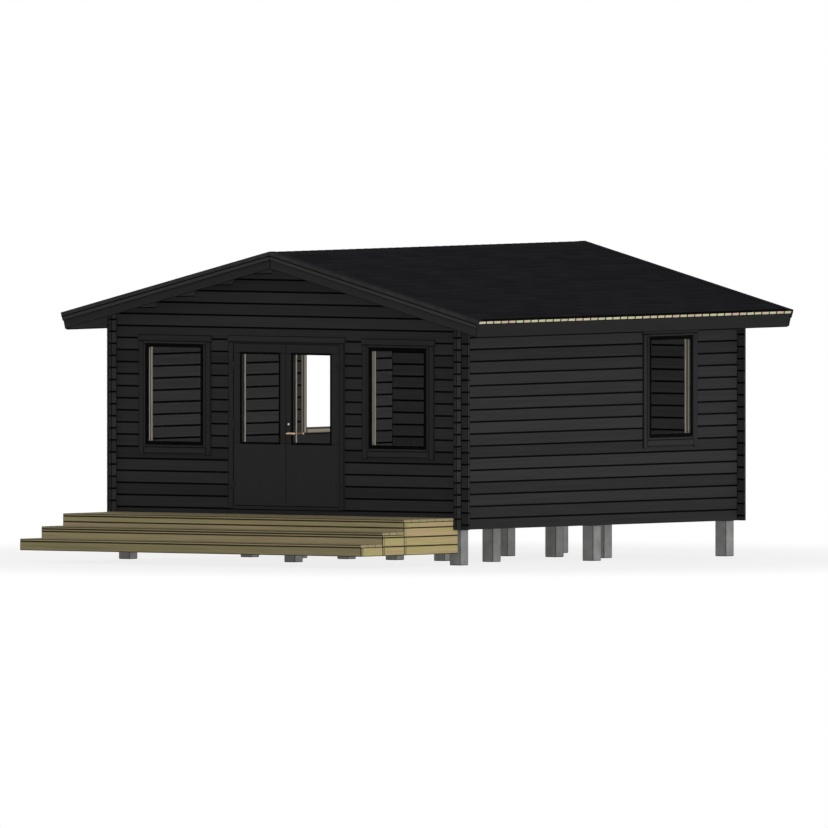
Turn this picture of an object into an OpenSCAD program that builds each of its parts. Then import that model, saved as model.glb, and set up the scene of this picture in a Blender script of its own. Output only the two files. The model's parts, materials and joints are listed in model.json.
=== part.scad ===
// Log garden cabin on concrete piers, with a stepped timber landing and a pitched shingle roof.
// Millimetres. +X is right, +Y is back, +Z is up. Z = 0 is the ground under the piers.

/* [Log walls] */
// Outer width of the log box, over the side walls
house_w = 4862; // [4400:1:5600]
// Outer depth of the log box, over the front and back walls
house_d = 5180; // [4800:1:6000]
// Thickness of a log
log_t = 44; // [34:1:60]
// Height that one log course adds to the wall
log_pitch = 135; // [120:1:150]
// Height of the part log at the foot of the front and back walls
first_log_h = 54.5; // [40:0.5:65]
// Length of the log ends that stand out past each corner
log_end = 88; // [60:1:120]
// Depth of the V joint between two logs
joint_depth = 6; // [3:0.5:9]
// Half height of the V joint between two logs
joint_half_h = 6; // [3:0.5:9]

/* [Piers and floor] */
// Width of a square concrete pier
pier_w = 150; // [120:1:200]
// Height of a pier above the ground
pier_h = 400; // [300:1:600]
// Width of a floor joist or bearer
joist_w = 45; // [38:1:60]
// Height of a floor joist or bearer
joist_h = 115; // [95:1:150]
// Number of bays between the floor joists
joist_bays = 7; // [6:1:8]
// Distance of each inner pier row from the nearer end wall
inner_row_y = 1555; // [1300:1:1800]
// Thickness of the floor boards
floor_t = 20; // [18:1:28]

/* [Roof] */
// Slope of the roof in degrees
roof_pitch = 14; // [10:0.5:18]
// Height of the ridge above the ground
ridge_z = 3480; // [3420:1:3700]
// Half width of the roof, from the ridge to the eave edge
roof_half_w = 2915; // [2850:1:3200]
// Overhang of the roof past the front wall
verge_overhang = 335; // [250:1:450]
// Overhang of the roof past the back wall
back_overhang = 363; // [250:1:450]
// Thickness of the shingle layer
roofing_t = 12; // [8:1:16]
// Thickness of the roof boards
roof_board_t = 28; // [20:1:34]
// Height of the eave fascia, square to the slope
fascia_h = 159; // [100:1:180]
// Thickness of the eave fascia
fascia_t = 28; // [20:1:34]
// Distance of the fascia face from the ends of the roof boards
fascia_inset = 5; // [2:1:20]
// Width of a purlin
purlin_w = 44; // [40:1:70]
// Distance of the inmost purlins from the ridge line
first_purlin_x = 237; // [180:1:260]
// Number of purlins on each slope
purlin_count = 4; // [3:1:4]
// Thickness of one verge trim board
verge_board_t = 18; // [15:1:22]
// Height of the long bargeboard, square to the slope
bargeboard_h = 188; // [150:1:220]
// Height of the shorter board on the bargeboard
verge_board_h = 93; // [80:1:110]
// Height of the metal edge on the verge
flashing_lip_h = 41; // [30:1:60]
// Width of the metal edge on top of the shingles
flashing_top_w = 100; // [60:1:130]
// Thickness of the metal edge
flashing_t = 2; // [1:0.5:3]
// Gap at the mitre where two verge boards meet at the ridge
mitre_gap = 3; // [2:0.5:5]

/* [Windows] */
// Clear width of the glass in a window
window_glass_w = 728; // [600:1:800]
// Clear height of the glass in a window
window_glass_h = 1050; // [900:1:1070]
// Face width of the window frame
window_face = 66; // [50:1:68]
// Fitting gap beside a window or door frame
fit_gap = 6; // [3:1:10]
// Place of the front windows between the door casing and the corner
front_window_share = 0.4712; // [0.38:0.0001:0.6]
// Distance of the side window centres from the back wall face
side_window_y = 1304; // [900:1:1900]
// Depth of a window frame through the wall
frame_depth = 101; // [90:1:125]
// Distance that window frames and door leaves stand out of the wall face
frame_out = 26; // [22:1:30]
// Thickness of the outer sash
sash_t = 10; // [8:1:14]
// Thickness of a pane
pane_t = 6; // [4:1:10]
// Distance from the edge of the frame to the edge of the pane
pane_margin = 30; // [20:1:40]
// Step between the inner sash and the lining
lining_step = 8; // [4:1:14]
// Depth of the inner sash behind the pane
inner_sash_t = 43; // [20:1:50]
// Face width of a casing board
casing_w = 70; // [60:1:90]
// Thickness of a casing board
casing_t = 20; // [15:1:28]
// Gap between a window frame and its casing
casing_gap = 1; // [0.5:0.5:3]
// Length of the head casing past the side casings
casing_ear = 15; // [0:1:25]
// Length of the side casings past the foot casing of a window
casing_tail = 18; // [0:1:30]

/* [Door] */
// Clear width of the doorway between the jambs
door_w = 1466; // [1300:1:1600]
// Whole log courses between the head of the doorway and the top of the side walls
over_door_count = 2; // [2:1:3]
// Step from the clear doorway back to a side casing
side_casing_step = 5; // [3:1:10]
// Step from the clear doorway up to the head casing
head_casing_step = 12; // [5:1:16]
// Face width of a jamb
jamb_w = 40; // [30:1:50]
// Depth of the stop behind a leaf
stop_w = 15; // [10:1:20]
// Thickness of the threshold
threshold_t = 33; // [25:1:40]
// Thickness of the frame head
door_head_t = 32; // [25:1:33]
// Running gap all round a leaf
leaf_gap = 6; // [5:0.5:8]
// Gap between the two leaves
meeting_gap = 9; // [9:0.5:12]
// Thickness of a leaf
leaf_t = 62; // [55:1:66]
// Width of a leaf's stile beside the meeting line
meeting_stile_w = 83; // [70:1:110]
// Width of a leaf's stile beside the hinges
hinge_stile_w = 98; // [80:1:130]
// Width of a leaf's top rail
top_rail_h = 105; // [80:1:130]
// Height of the plain panel below the glass of a leaf
leaf_panel_h = 699; // [600:1:900]
// Thickness of a leaf's pane
leaf_pane_t = 4; // [4:1:6]
// Thickness of the glazing bead on the inside of a leaf
bead_t = 31; // [20:1:34]
// Face width of the glazing bead
bead_w = 24; // [18:1:30]

/* [Door fittings] */
// Radius of a hinge barrel
barrel_r = 6.5; // [5:0.5:7]
// Radius of a hinge pin
hinge_pin_r = 4; // [3:0.1:4.2]
// Height of each half of a hinge barrel
knuckle_h = 45; // [35:1:60]
// Thickness of a hinge plate
hinge_plate_t = 3; // [2:0.5:3.5]
// Width of the hinge plate on a leaf
hinge_plate_w = 36; // [25:1:45]
// Running clearance round a pin or spindle
pin_clear = 0.06; // [0.02:0.01:0.1]
// End clearance between two hinge knuckles
knuckle_clear = 0.3; // [0.2:0.1:0.6]
// Height of the handle above the threshold
handle_h = 819; // [750:1:950]
// Height of the lock cylinder above the handle
lock_h = 103; // [72:1:110]
// Radius of the handle spindle
spindle_r = 5; // [4:0.5:6]
// Radius of the lever's grip
lever_r = 9.5; // [8:0.5:11]
// Length of the lever from its spindle
lever_len = 128; // [100:1:140]
// Distance of the lever's grip from the leaf
lever_standoff = 55; // [38:1:60]
// Gap between the inside lever and the glazing bead
lever_in_gap = 5.5; // [5:0.5:20]
// Radius of the lever's hub and of the lock cylinder
hub_r = 13; // [11:0.5:16]
// Height of the lock cylinder above the leaf face
lock_proud = 12; // [8:1:16]

/* [Landing and steps] */
// Depth of the landing
landing_d = 1000; // [800:1:1200]
// Depth of each step below the landing
step_d = 400; // [300:1:450]
// Clear gap beside the landing, to the log ends
landing_side_gap = 4; // [2:1:10]
// Drop from the top of the sill logs to the landing
landing_drop = 58.6; // [40:0.1:90]
// Height of one beam of the stacked step frames
step_beam_h = 101.3; // [90:0.1:110]
// Thickness of a step frame beam
step_beam_t = 45; // [38:1:60]
// Thickness of the landing and tread boards
tread_t = 28; // [24:1:34]
// Height of the packing under the middle tread, above the second beam
middle_pack_h = 28; // [20:1:40]
// Height of the packing under the landing boards, above the third beam
landing_pack_h = 63; // [50:1:80]
// Nominal width of a landing board
deck_board_w = 138; // [110:1:150]
// Gap between two landing boards
deck_gap = 6; // [4:0.5:10]
// Number of bays between the bearers under the boards
step_bays = 8; // [6:1:9]

/* [Hidden] */
$fn = 48;

log_color = "#2b2b2d";
pine_color = "#d9bd82";
deck_color = "#948a60";
concrete_color = "#85898a";
roofing_color = "#1c1c1f";
trim_color = "#39393b";
glass_color = "#c4d6da";
steel_color = "#c8ccd0";
brass_color = "#a98758";

// Overrun of every cut past the faces it opens
cut_over = 5;
// Clearance at a seat under the roof slope, and behind a row of tread boards
seat_gap = 0.3;
half_w = house_w / 2;
in_half_w = half_w - log_t;
wall_z = pier_h;
front_joint_z = wall_z + first_log_h;
side_joint_z = front_joint_z + log_pitch / 2;
roof_len = roof_half_w / cos(roof_pitch);
verge_y0 = -verge_overhang;
verge_y1 = house_d + back_overhang;
verge_back_t = verge_board_t * 2;
roof_y0 = verge_y0 + flashing_t + verge_back_t;
roof_y1 = verge_y1 - flashing_t - verge_back_t;
under_v = roofing_t + roof_board_t;
seat_v = under_v + seat_gap;
sill_top_z = front_joint_z + log_pitch;
side_top_z = ridge_point(seat_v, half_w)[1];
head_course_count = floor((side_top_z - front_joint_z) / log_pitch) - over_door_count;
head_z = front_joint_z + head_course_count * log_pitch;
log_rows = ceil((ridge_z - wall_z) / log_pitch);

// Place along Y that brings the middle of the whole footprint to the origin
step_y0 = -landing_d - 2 * step_d;
mid_y = (step_y0 + verge_y1) / 2;

window_frame_w = window_glass_w + 2 * window_face;
window_frame_h = window_glass_h + 2 * window_face;
// Windows hang from the head of the doorway by whole courses
window_course_count = ceil((window_frame_h + fit_gap) / log_pitch);
window_sill_z = head_z - window_course_count * log_pitch;

leaf_w = door_w / 2 - leaf_gap - meeting_gap / 2;
threshold_top_z = sill_top_z + threshold_t;
leaf_z0 = threshold_top_z + leaf_gap;
door_head_z = head_z - fit_gap / 2 - door_head_t;
leaf_z1 = door_head_z - leaf_gap;
leaf_h = leaf_z1 - leaf_z0;
door_hole_w = door_w + 2 * jamb_w + 2 * fit_gap;
leaf_glass_w = leaf_w - meeting_stile_w - hinge_stile_w;
leaf_glass_z = leaf_z0 + leaf_panel_h;
leaf_glass_h = leaf_z1 - top_rail_h - leaf_glass_z;
leaf_in_x = meeting_gap / 2;
frame_in_y = frame_depth - frame_out;
stop_y = leaf_t + leaf_gap - frame_out;
stop_x = door_w / 2 - stop_w;
head_casing_z = door_head_z + head_casing_step;
hinge_x = leaf_in_x + leaf_w + leaf_gap / 2;
hinge_y = -hinge_plate_t - barrel_r;
door_casing_x = door_w / 2 + side_casing_step;
door_trim_x = door_casing_x + casing_w + casing_ear;
front_window_x = door_trim_x + (in_half_w - door_trim_x) * front_window_share;
hinge_z_shares = [0.12, 0.5, 0.86];
// Place of the handle across the meeting stile
handle_share = 0.475;
handle_x = leaf_in_x + meeting_stile_w * handle_share;
handle_z = threshold_top_z + handle_h;
lever_in_y = leaf_t + leaf_pane_t + bead_t;

landing_w = 2 * (in_half_w - landing_side_gap);
step_base_z = sill_top_z - landing_drop - tread_t - landing_pack_h - 3 * step_beam_h;
bottom_frame_z = step_base_z + step_beam_h;
middle_frame_z = step_base_z + 2 * step_beam_h + middle_pack_h;
landing_frame_z = step_base_z + 3 * step_beam_h + landing_pack_h;

purlin_base_z = side_joint_z + (log_rows_below_purlin() + purlin_count - 1) * log_pitch;

// Course of the side walls at which the outmost purlins rest
function log_rows_below_purlin() =
    floor((ridge_z - under_v / cos(roof_pitch) - tan(roof_pitch) * purlin_x(purlin_count - 1)
        - log_pitch - side_joint_z) / log_pitch);
// Distance of a purlin from the ridge line, counted from the ridge down
function purlin_x(i) = first_purlin_x + i * log_pitch / tan(roof_pitch);
// Underside height of a purlin
function purlin_z(i) = purlin_base_z - i * log_pitch;
// Point on a roof layer: run along the slope from the ridge, and depth below the shingles
function slope_point(run, depth) =
    [run * cos(roof_pitch) - depth * sin(roof_pitch),
        ridge_z - run * sin(roof_pitch) - depth * cos(roof_pitch)];
// Point of a roof layer on the ridge line
function ridge_point(depth, gap = 0) =
    [gap, ridge_z - depth / cos(roof_pitch) - gap * tan(roof_pitch)];
// Outline of a roof layer between two depths, mitred at the ridge and square at the eave
function layer_outline(top, bottom, gap = 0) =
    [ridge_point(top, gap), slope_point(roof_len, top),
        slope_point(roof_len, bottom), ridge_point(bottom, gap)];
// Joint heights that lie inside a wall stretch
function joints_between(z0, z1, first) =
    [for (i = [0:log_rows]) let (z = first + i * log_pitch) if (z > z0 + joint_half_h
        && z < z1 - joint_half_h) z];
// One face of a log stretch from foot to head, with half a V at an end that is itself a joint
function log_face(z0, z1, joints, foot, head) = concat(
    foot ? [[joint_depth, z0], [0, z0 + joint_half_h]] : [[0, z0]],
    [for (z = joints) each [[0, z - joint_half_h], [joint_depth, z], [0, z + joint_half_h]]],
    head ? [[0, z1 - joint_half_h], [joint_depth, z1]] : [[0, z1]]);
// Section of a stack of logs of a given thickness, V-jointed on both faces
function log_section(thick, z0, z1, joints, foot, head) =
    let (face = log_face(z0, z1, joints, foot, head), n = len(face))
    concat(face, [for (i = [n - 1:-1:0]) [thick - face[i][0], face[i][1]]]);

module log_paint() { color(log_color) children(); }
module pine_paint() { color(pine_color) children(); }
module deck_paint() { color(deck_color) children(); }
module trim_paint() { color(trim_color) children(); }
module steel_paint() { color(steel_color) children(); }
module glass_paint() { color(glass_color, 0.4) children(); }

// Everything is drawn from the front wall face, then moved to the middle of the footprint
module placed() { translate([0, -mid_y, 0]) children(); }
module both_sides() {
    children();
    mirror([1, 0, 0]) children();
}
// Window frames and door leaves are drawn from their outer face, which stands out of the wall
module stood_out() { translate([0, -frame_out, 0]) children(); }
module box(lo, hi) { translate(lo) cube(hi - lo); }
// Outline in X and Z, drawn out along Y
module along_y(y0, y1) {
    translate([0, y1, 0]) rotate([90, 0, 0]) linear_extrude(y1 - y0) children();
}
// Section in Y and Z, drawn out along X
module along_x(x0, x1) {
    translate([x0, 0, 0]) rotate([90, 0, 90]) linear_extrude(x1 - x0) children();
}

module log_stack_x(x0, x1, y, z0, z1, foot = false, head = false) {
    joints = joints_between(z0, z1, front_joint_z);
    translate([0, y, 0]) along_x(x0, x1) polygon(log_section(log_t, z0, z1, joints, foot, head));
}
module log_stack_y(x, y0, y1, z0, z1) {
    joints = joints_between(z0, z1, side_joint_z);
    translate([x, 0, 0]) along_y(y0, y1) polygon(log_section(log_t, z0, z1, joints, false, false));
}

// Space under the roof boards and inside the fascias, over the whole length of the house
module under_roof() {
    side = max(roof_half_w, half_w + log_end);
    low = ridge_point(seat_v, side);
    along_y(verge_y0, verge_y1) difference() {
        polygon([[-side, 0], [side, 0], low, ridge_point(seat_v), [-side, low[1]]]);
        both_sides() fascia_outline();
    }
}
module fascia_outline() {
    outer = roof_len - fascia_inset;
    inner = outer - fascia_t;
    foot = under_v + fascia_h;
    polygon([slope_point(inner, seat_v), slope_point(outer, seat_v),
        slope_point(outer, foot), slope_point(inner, foot)]);
}

// Necks that one wall's logs keep at a corner: half a log high, centred on the other wall's joints
module corner_necks(x, y, first) {
    for (i = [-1:log_rows])
        translate([x, y, first + i * log_pitch - log_pitch / 4])
            cube([log_t, log_t, log_pitch / 2]);
}
module four_corner_necks(first) {
    for (x = [-half_w, in_half_w], y = [0, house_d - log_t]) corner_necks(x, y, first);
}

module purlin_bars(y0, y1) {
    intersection() {
        both_sides() for (i = [0:purlin_count - 1])
            box([purlin_x(i) - purlin_w / 2, y0, purlin_z(i)], [purlin_x(i) + purlin_w / 2, y1, ridge_z]);
        under_roof();
    }
}

// A wall along X, notched for the side logs
module end_wall(x0, x1, y, z0, z1, foot, head) {
    difference() {
        log_stack_x(x0, x1, y, z0, z1, foot, head);
        four_corner_necks(front_joint_z);
    }
}
// The gable above a given height, cut to the roof and open for the purlins
module gable(y, z0, foot) {
    difference() {
        intersection() {
            end_wall(-half_w - log_end, half_w + log_end, y, z0, ridge_z, foot, false);
            under_roof();
        }
        purlin_bars(y - cut_over, y + log_t + cut_over);
    }
}
// Opening for a window, as high and wide as its frame and the fitting gap
module window_hole() {
    w = window_frame_w + 2 * fit_gap;
    translate([-w / 2, -cut_over, window_sill_z])
        cube([w, log_t + 2 * cut_over, window_frame_h + fit_gap]);
}
// Front wall beside the door, on the right
module front_wall_side() {
    difference() {
        end_wall(door_hole_w / 2, half_w + log_end, 0, sill_top_z, head_z, true, true);
        translate([front_window_x, 0, 0]) window_hole();
    }
}
module side_wall() {
    difference() {
        intersection() {
            log_stack_y(in_half_w, -log_end, house_d + log_end, wall_z, ridge_z);
            under_roof();
        }
        four_corner_necks(side_joint_z);
        on_side() window_hole();
    }
}
// Stands a front window piece in the right wall, half a course higher
module on_side() {
    translate([half_w, house_d - side_window_y, log_pitch / 2]) rotate([0, 0, 90]) children();
}
module at_windows() {
    both_sides() {
        translate([front_window_x, 0, 0]) children();
        on_side() children();
    }
}

module pier(x, y) {
    translate([x - pier_w / 2, y - pier_w / 2, 0]) cube([pier_w, pier_w, pier_h]);
}
pier_x = in_half_w - pier_w / 2;
pier_y0 = log_t + pier_w / 2;
pier_y1 = house_d - pier_y0;
joist_step = (2 * in_half_w - joist_w) / joist_bays;
function joist_x(i) = -in_half_w + joist_w / 2 + i * joist_step;

module perimeter_piers() {
    color(concrete_color) placed() {
        for (x = [-pier_x, 0, pier_x], y = [pier_y0, pier_y1]) pier(x, y);
        for (x = [-pier_x, pier_x]) pier(x, house_d / 2);
    }
}
module inner_piers() {
    color(concrete_color) placed()
        for (i = [1:joist_bays - 1], y = [inner_row_y, house_d - inner_row_y]) pier(joist_x(i), y);
}
module end_bearers() {
    x = in_half_w - joist_w;
    pine_paint() placed() for (y = [log_t, house_d - log_t - joist_w])
        box([-x, y, pier_h], [x, y + joist_w, pier_h + joist_h]);
}
module floor_joists() {
    pine_paint() placed() for (i = [0:joist_bays]) {
        at_wall = i == 0 || i == joist_bays;
        y = log_t + (at_wall ? 0 : joist_w);
        box([joist_x(i) - joist_w / 2, y, pier_h],
            [joist_x(i) + joist_w / 2, house_d - y, pier_h + joist_h]);
    }
}
module floor_boards() {
    z = pier_h + joist_h;
    pine_paint() placed() box([-in_half_w, log_t, z], [in_half_w, house_d - log_t, z + floor_t]);
}

module front_sill_logs() {
    log_paint() placed() end_wall(-half_w - log_end, half_w + log_end, 0, wall_z, sill_top_z, false, true);
}
module front_wall_left() { log_paint() placed() mirror([1, 0, 0]) front_wall_side(); }
module front_wall_right() { log_paint() placed() front_wall_side(); }
module front_gable_wall() { log_paint() placed() gable(0, head_z, true); }
module back_wall() { log_paint() placed() gable(house_d - log_t, wall_z, false); }
module left_wall() { log_paint() placed() mirror([1, 0, 0]) side_wall(); }
module right_wall() { log_paint() placed() side_wall(); }

module purlins() { log_paint() placed() purlin_bars(roof_y0, roof_y1); }
module roof_layer(y0, y1, top, bottom) { along_y(y0, y1) polygon(layer_outline(top, bottom)); }
module right_roof_boards() { pine_paint() placed() roof_layer(roof_y0, roof_y1, roofing_t, under_v); }
module left_roof_boards() {
    pine_paint() placed() mirror([1, 0, 0]) roof_layer(roof_y0, roof_y1, roofing_t, under_v);
}
module right_roofing() { color(roofing_color) placed() roof_layer(roof_y0, roof_y1, 0, roofing_t); }
module left_roofing() {
    color(roofing_color) placed() mirror([1, 0, 0]) roof_layer(roof_y0, roof_y1, 0, roofing_t);
}
module eave_fascias() {
    trim_paint() placed() both_sides() along_y(roof_y0, roof_y1) fascia_outline();
}
// The same board at the front and back verge of both slopes, at a distance from the verge face
module verge_pieces(inset, thick, top, bottom) {
    both_sides() {
        along_y(verge_y0 + inset, verge_y0 + inset + thick)
            polygon(layer_outline(top, bottom, mitre_gap / 2));
        along_y(verge_y1 - inset - thick, verge_y1 - inset)
            polygon(layer_outline(top, bottom, mitre_gap / 2));
    }
}
module bargeboards() {
    trim_paint() placed() verge_pieces(flashing_t + verge_board_t, verge_board_t, 0, bargeboard_h);
}
module verge_boards() {
    trim_paint() placed() verge_pieces(flashing_t, verge_board_t, 0, verge_board_h);
}
module verge_flashings() {
    color(trim_color) placed() {
        verge_pieces(0, flashing_t, -flashing_t, flashing_lip_h);
        verge_pieces(flashing_t, flashing_top_w, -flashing_t, 0);
    }
}

// Upright frame in X and Z with a rectangular opening, as an outline
module ring(w, h, face_side, face_foot, face_head) {
    difference() {
        translate([-w / 2, 0]) square([w, h]);
        translate([-w / 2 + face_side, face_foot]) square([w - 2 * face_side, h - face_foot - face_head]);
    }
}
module window_casing() {
    border = casing_gap + casing_w;
    w = window_frame_w + 2 * border;
    h = window_frame_h + 2 * border;
    foot_z = window_sill_z - border;
    along_y(-casing_t, 0) {
        translate([0, foot_z]) ring(w, h, casing_w, casing_w, casing_w);
        translate([-w / 2 - casing_ear, foot_z + h - casing_w]) square([w + 2 * casing_ear, casing_w]);
        for (x = [-w / 2, w / 2 - casing_w])
            translate([x, foot_z - casing_tail]) square([casing_w, casing_tail]);
    }
}
module window_sash() {
    along_y(0, sash_t) translate([0, window_sill_z])
        ring(window_frame_w, window_frame_h, window_face, window_face, window_face);
}
module window_lining() {
    y = sash_t + pane_t;
    face = window_face - lining_step;
    translate([0, 0, window_sill_z]) {
        along_y(y, y + inner_sash_t)
            ring(window_frame_w, window_frame_h, window_face, window_face, window_face);
        along_y(y + inner_sash_t, frame_depth) ring(window_frame_w, window_frame_h, face, face, face);
    }
}
module window_pane() {
    w = window_frame_w - 2 * pane_margin;
    h = window_frame_h - 2 * pane_margin;
    box([-w / 2, sash_t, window_sill_z + pane_margin],
        [w / 2, sash_t + pane_t, window_sill_z + pane_margin + h]);
}
module window_casings() { log_paint() placed() at_windows() window_casing(); }
module window_sashes() { log_paint() placed() at_windows() stood_out() window_sash(); }
module window_linings() { pine_paint() placed() at_windows() stood_out() window_lining(); }
module window_panes() { glass_paint() placed() at_windows() stood_out() window_pane(); }

module door_side_casings() {
    log_paint() placed() both_sides()
        box([door_casing_x, -casing_t, sill_top_z], [door_casing_x + casing_w, 0, head_casing_z]);
}
module door_head_casing() {
    z = head_casing_z;
    log_paint() placed() box([-door_trim_x, -casing_t, z], [door_trim_x, 0, z + casing_w]);
}
// A jamb with the stop that the leaf closes on
module door_jambs() {
    x0 = door_w / 2;
    log_paint() placed() both_sides() translate([0, 0, threshold_top_z])
        linear_extrude(door_head_z - threshold_top_z)
            polygon([[x0, 0], [x0 + jamb_w, 0], [x0 + jamb_w, frame_in_y], [stop_x, frame_in_y],
                [stop_x, stop_y], [x0, stop_y]]);
}
// The frame head, with a stop between the stops of the jambs
module door_head() {
    x = door_w / 2 + jamb_w;
    in_x = stop_x - seat_gap;
    log_paint() placed() {
        box([-x, 0, door_head_z], [x, frame_in_y, door_head_z + door_head_t]);
        box([-in_x, stop_y, door_head_z - stop_w], [in_x, frame_in_y, door_head_z]);
    }
}
module door_threshold() {
    x = door_w / 2 + jamb_w;
    log_paint() placed() {
        box([-x, 0, sill_top_z], [x, frame_in_y, threshold_top_z]);
        box([-door_casing_x, -casing_t, sill_top_z], [door_casing_x, 0, threshold_top_z]);
    }
}

module on_leaf() { placed() stood_out() children(); }
// A leaf on the right, with the glass opening above its plain panel
module leaf_outline() {
    difference() {
        translate([leaf_in_x, leaf_z0]) square([leaf_w, leaf_h]);
        leaf_opening(0);
    }
}
module leaf_opening(grow) {
    translate([leaf_in_x + meeting_stile_w - grow, leaf_glass_z - grow])
        square([leaf_glass_w + 2 * grow, leaf_glass_h + 2 * grow]);
}
module leaf() { along_y(0, leaf_t) leaf_outline(); }
module leaf_bead() {
    y = leaf_t + leaf_pane_t;
    along_y(y, y + bead_t) difference() {
        leaf_opening(bead_w);
        leaf_opening(0);
    }
}
module leaf_pane() { along_y(leaf_t, leaf_t + leaf_pane_t) leaf_opening(bead_w); }
module at_hinges() {
    for (share = hinge_z_shares) translate([hinge_x, hinge_y, leaf_z0 + share * leaf_h]) children();
}
// The half on the leaf: an upper knuckle with a bore, and a plate on the leaf's face
module leaf_hinge_half() {
    translate([0, 0, knuckle_clear]) {
        difference() {
            union() {
                cylinder(r = barrel_r, h = knuckle_h);
                translate([-hinge_plate_w, -hinge_y - hinge_plate_t, 0])
                    cube([hinge_plate_w, hinge_plate_t, knuckle_h]);
                translate([-barrel_r, 0, 0]) cube([barrel_r, -hinge_y, knuckle_h]);
            }
            translate([0, 0, -cut_over]) cylinder(r = hinge_pin_r + pin_clear, h = knuckle_h + 2 * cut_over);
        }
    }
}
// The half on the frame: a lower knuckle with the pin, and a plate on the casing's face
module frame_hinge_half() {
    x = leaf_gap / 2;
    seat = frame_out - casing_t - hinge_y;
    plate_x = door_casing_x - hinge_x + hinge_plate_w;
    translate([0, 0, -knuckle_h]) {
        cylinder(r = barrel_r, h = knuckle_h);
        box([x, 0, 0], [barrel_r, seat, knuckle_h]);
        box([x, seat - hinge_plate_t, 0], [plate_x, seat, knuckle_h]);
        cylinder(r = hinge_pin_r, h = knuckle_h * 2);
    }
}
module frame_hinge_halves() { steel_paint() on_leaf() both_sides() at_hinges() frame_hinge_half(); }
module left_hinge_halves() { steel_paint() on_leaf() mirror([1, 0, 0]) at_hinges() leaf_hinge_half(); }
module right_hinge_halves() { steel_paint() on_leaf() at_hinges() leaf_hinge_half(); }
module left_door_leaf() { log_paint() on_leaf() mirror([1, 0, 0]) leaf(); }
module left_door_bead() { pine_paint() on_leaf() mirror([1, 0, 0]) leaf_bead(); }
module left_door_pane() { glass_paint() on_leaf() mirror([1, 0, 0]) leaf_pane(); }
module round_bar(y0, y1, r) {
    translate([handle_x, y1, 0]) rotate([90, 0, 0]) cylinder(r = r, h = y1 - y0);
}
module right_door_leaf() {
    log_paint() on_leaf() difference() {
        leaf();
        translate([0, 0, handle_z]) round_bar(-cut_over, leaf_t + cut_over, spindle_r + pin_clear);
        translate([0, 0, handle_z + lock_h]) round_bar(-cut_over, leaf_t + cut_over, hub_r + pin_clear);
    }
}
module right_door_bead() { pine_paint() on_leaf() leaf_bead(); }
module right_door_pane() { glass_paint() on_leaf() leaf_pane(); }
module lock_cylinder() {
    steel_paint() on_leaf() translate([0, 0, handle_z + lock_h])
        round_bar(-lock_proud, leaf_t + lock_proud, hub_r);
}
// Grip of a lever, a round bar with a ball end
module lever_grip(y) {
    translate([handle_x, y, 0]) {
        rotate([0, 90, 0]) cylinder(r = lever_r, h = lever_len - lever_r);
        translate([lever_len - lever_r, 0, 0]) sphere(r = lever_r);
        sphere(r = lever_r);
    }
}
module door_handle() {
    out_y = -lever_standoff;
    in_y = lever_in_y + lever_r + lever_in_gap;
    hub_gap = knuckle_clear;
    color(brass_color) on_leaf() translate([0, 0, handle_z]) {
        round_bar(out_y, in_y, spindle_r);
        round_bar(out_y, -hub_gap, lever_r);
        round_bar(leaf_t + hub_gap, in_y, lever_r);
        lever_grip(out_y);
        lever_grip(in_y);
    }
}

// Stack of beams from the underside of the steps, V-jointed on both faces
function beam_joints(top) =
    [for (i = [1:3]) let (z = step_base_z + i * step_beam_h) if (z < top - joint_half_h) z];
function beam_section(top) =
    log_section(step_beam_t, step_base_z, top, beam_joints(top), false, false);
module beam_x(y, top) {
    x = landing_w / 2;
    translate([0, y, 0]) along_x(-x, x) polygon(beam_section(top));
}
module cheek(y0, y1, top) {
    both_sides() translate([landing_w / 2 - step_beam_t, 0, 0]) along_y(y0, y1) polygon(beam_section(top));
}
middle_y = -landing_d - step_d;
module step_beams() {
    deck_paint() placed() {
        beam_x(-landing_d, landing_frame_z);
        beam_x(middle_y, middle_frame_z);
        beam_x(step_y0, bottom_frame_z);
    }
}
module step_cheeks() {
    deck_paint() placed() {
        cheek(step_beam_t - landing_d, 0, landing_frame_z);
        cheek(middle_y + step_beam_t, -landing_d, middle_frame_z);
        cheek(step_y0 + step_beam_t, middle_y, bottom_frame_z);
    }
}
// Bearers from front to back under the boards of one step
module bearer_row(y0, y1, top) {
    x0 = landing_w / 2 - step_beam_t;
    for (i = [1:step_bays - 1]) {
        x = -x0 + i * 2 * x0 / step_bays;
        box([x - step_beam_t / 2, y0, top - step_beam_h], [x + step_beam_t / 2, y1, top]);
    }
}
module step_bearers() {
    deck_paint() placed() {
        bearer_row(step_beam_t - landing_d, 0, landing_frame_z);
        bearer_row(middle_y + step_beam_t, -landing_d, middle_frame_z);
        bearer_row(step_y0 + step_beam_t, middle_y, bottom_frame_z);
    }
}
module board_row(y0, y1, z) {
    d = y1 - y0 - seat_gap;
    n = round((d + deck_gap) / (deck_board_w + deck_gap));
    w = (d - (n - 1) * deck_gap) / n;
    x = landing_w / 2;
    for (i = [0:n - 1]) {
        y = y0 + i * (w + deck_gap);
        box([-x, y, z], [x, y + w, z + tread_t]);
    }
}
module landing_boards() { deck_paint() placed() board_row(-landing_d, 0, landing_frame_z); }
module tread_boards() {
    deck_paint() placed() {
        board_row(middle_y, -landing_d, middle_frame_z);
        board_row(step_y0, middle_y, bottom_frame_z);
    }
}

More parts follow.
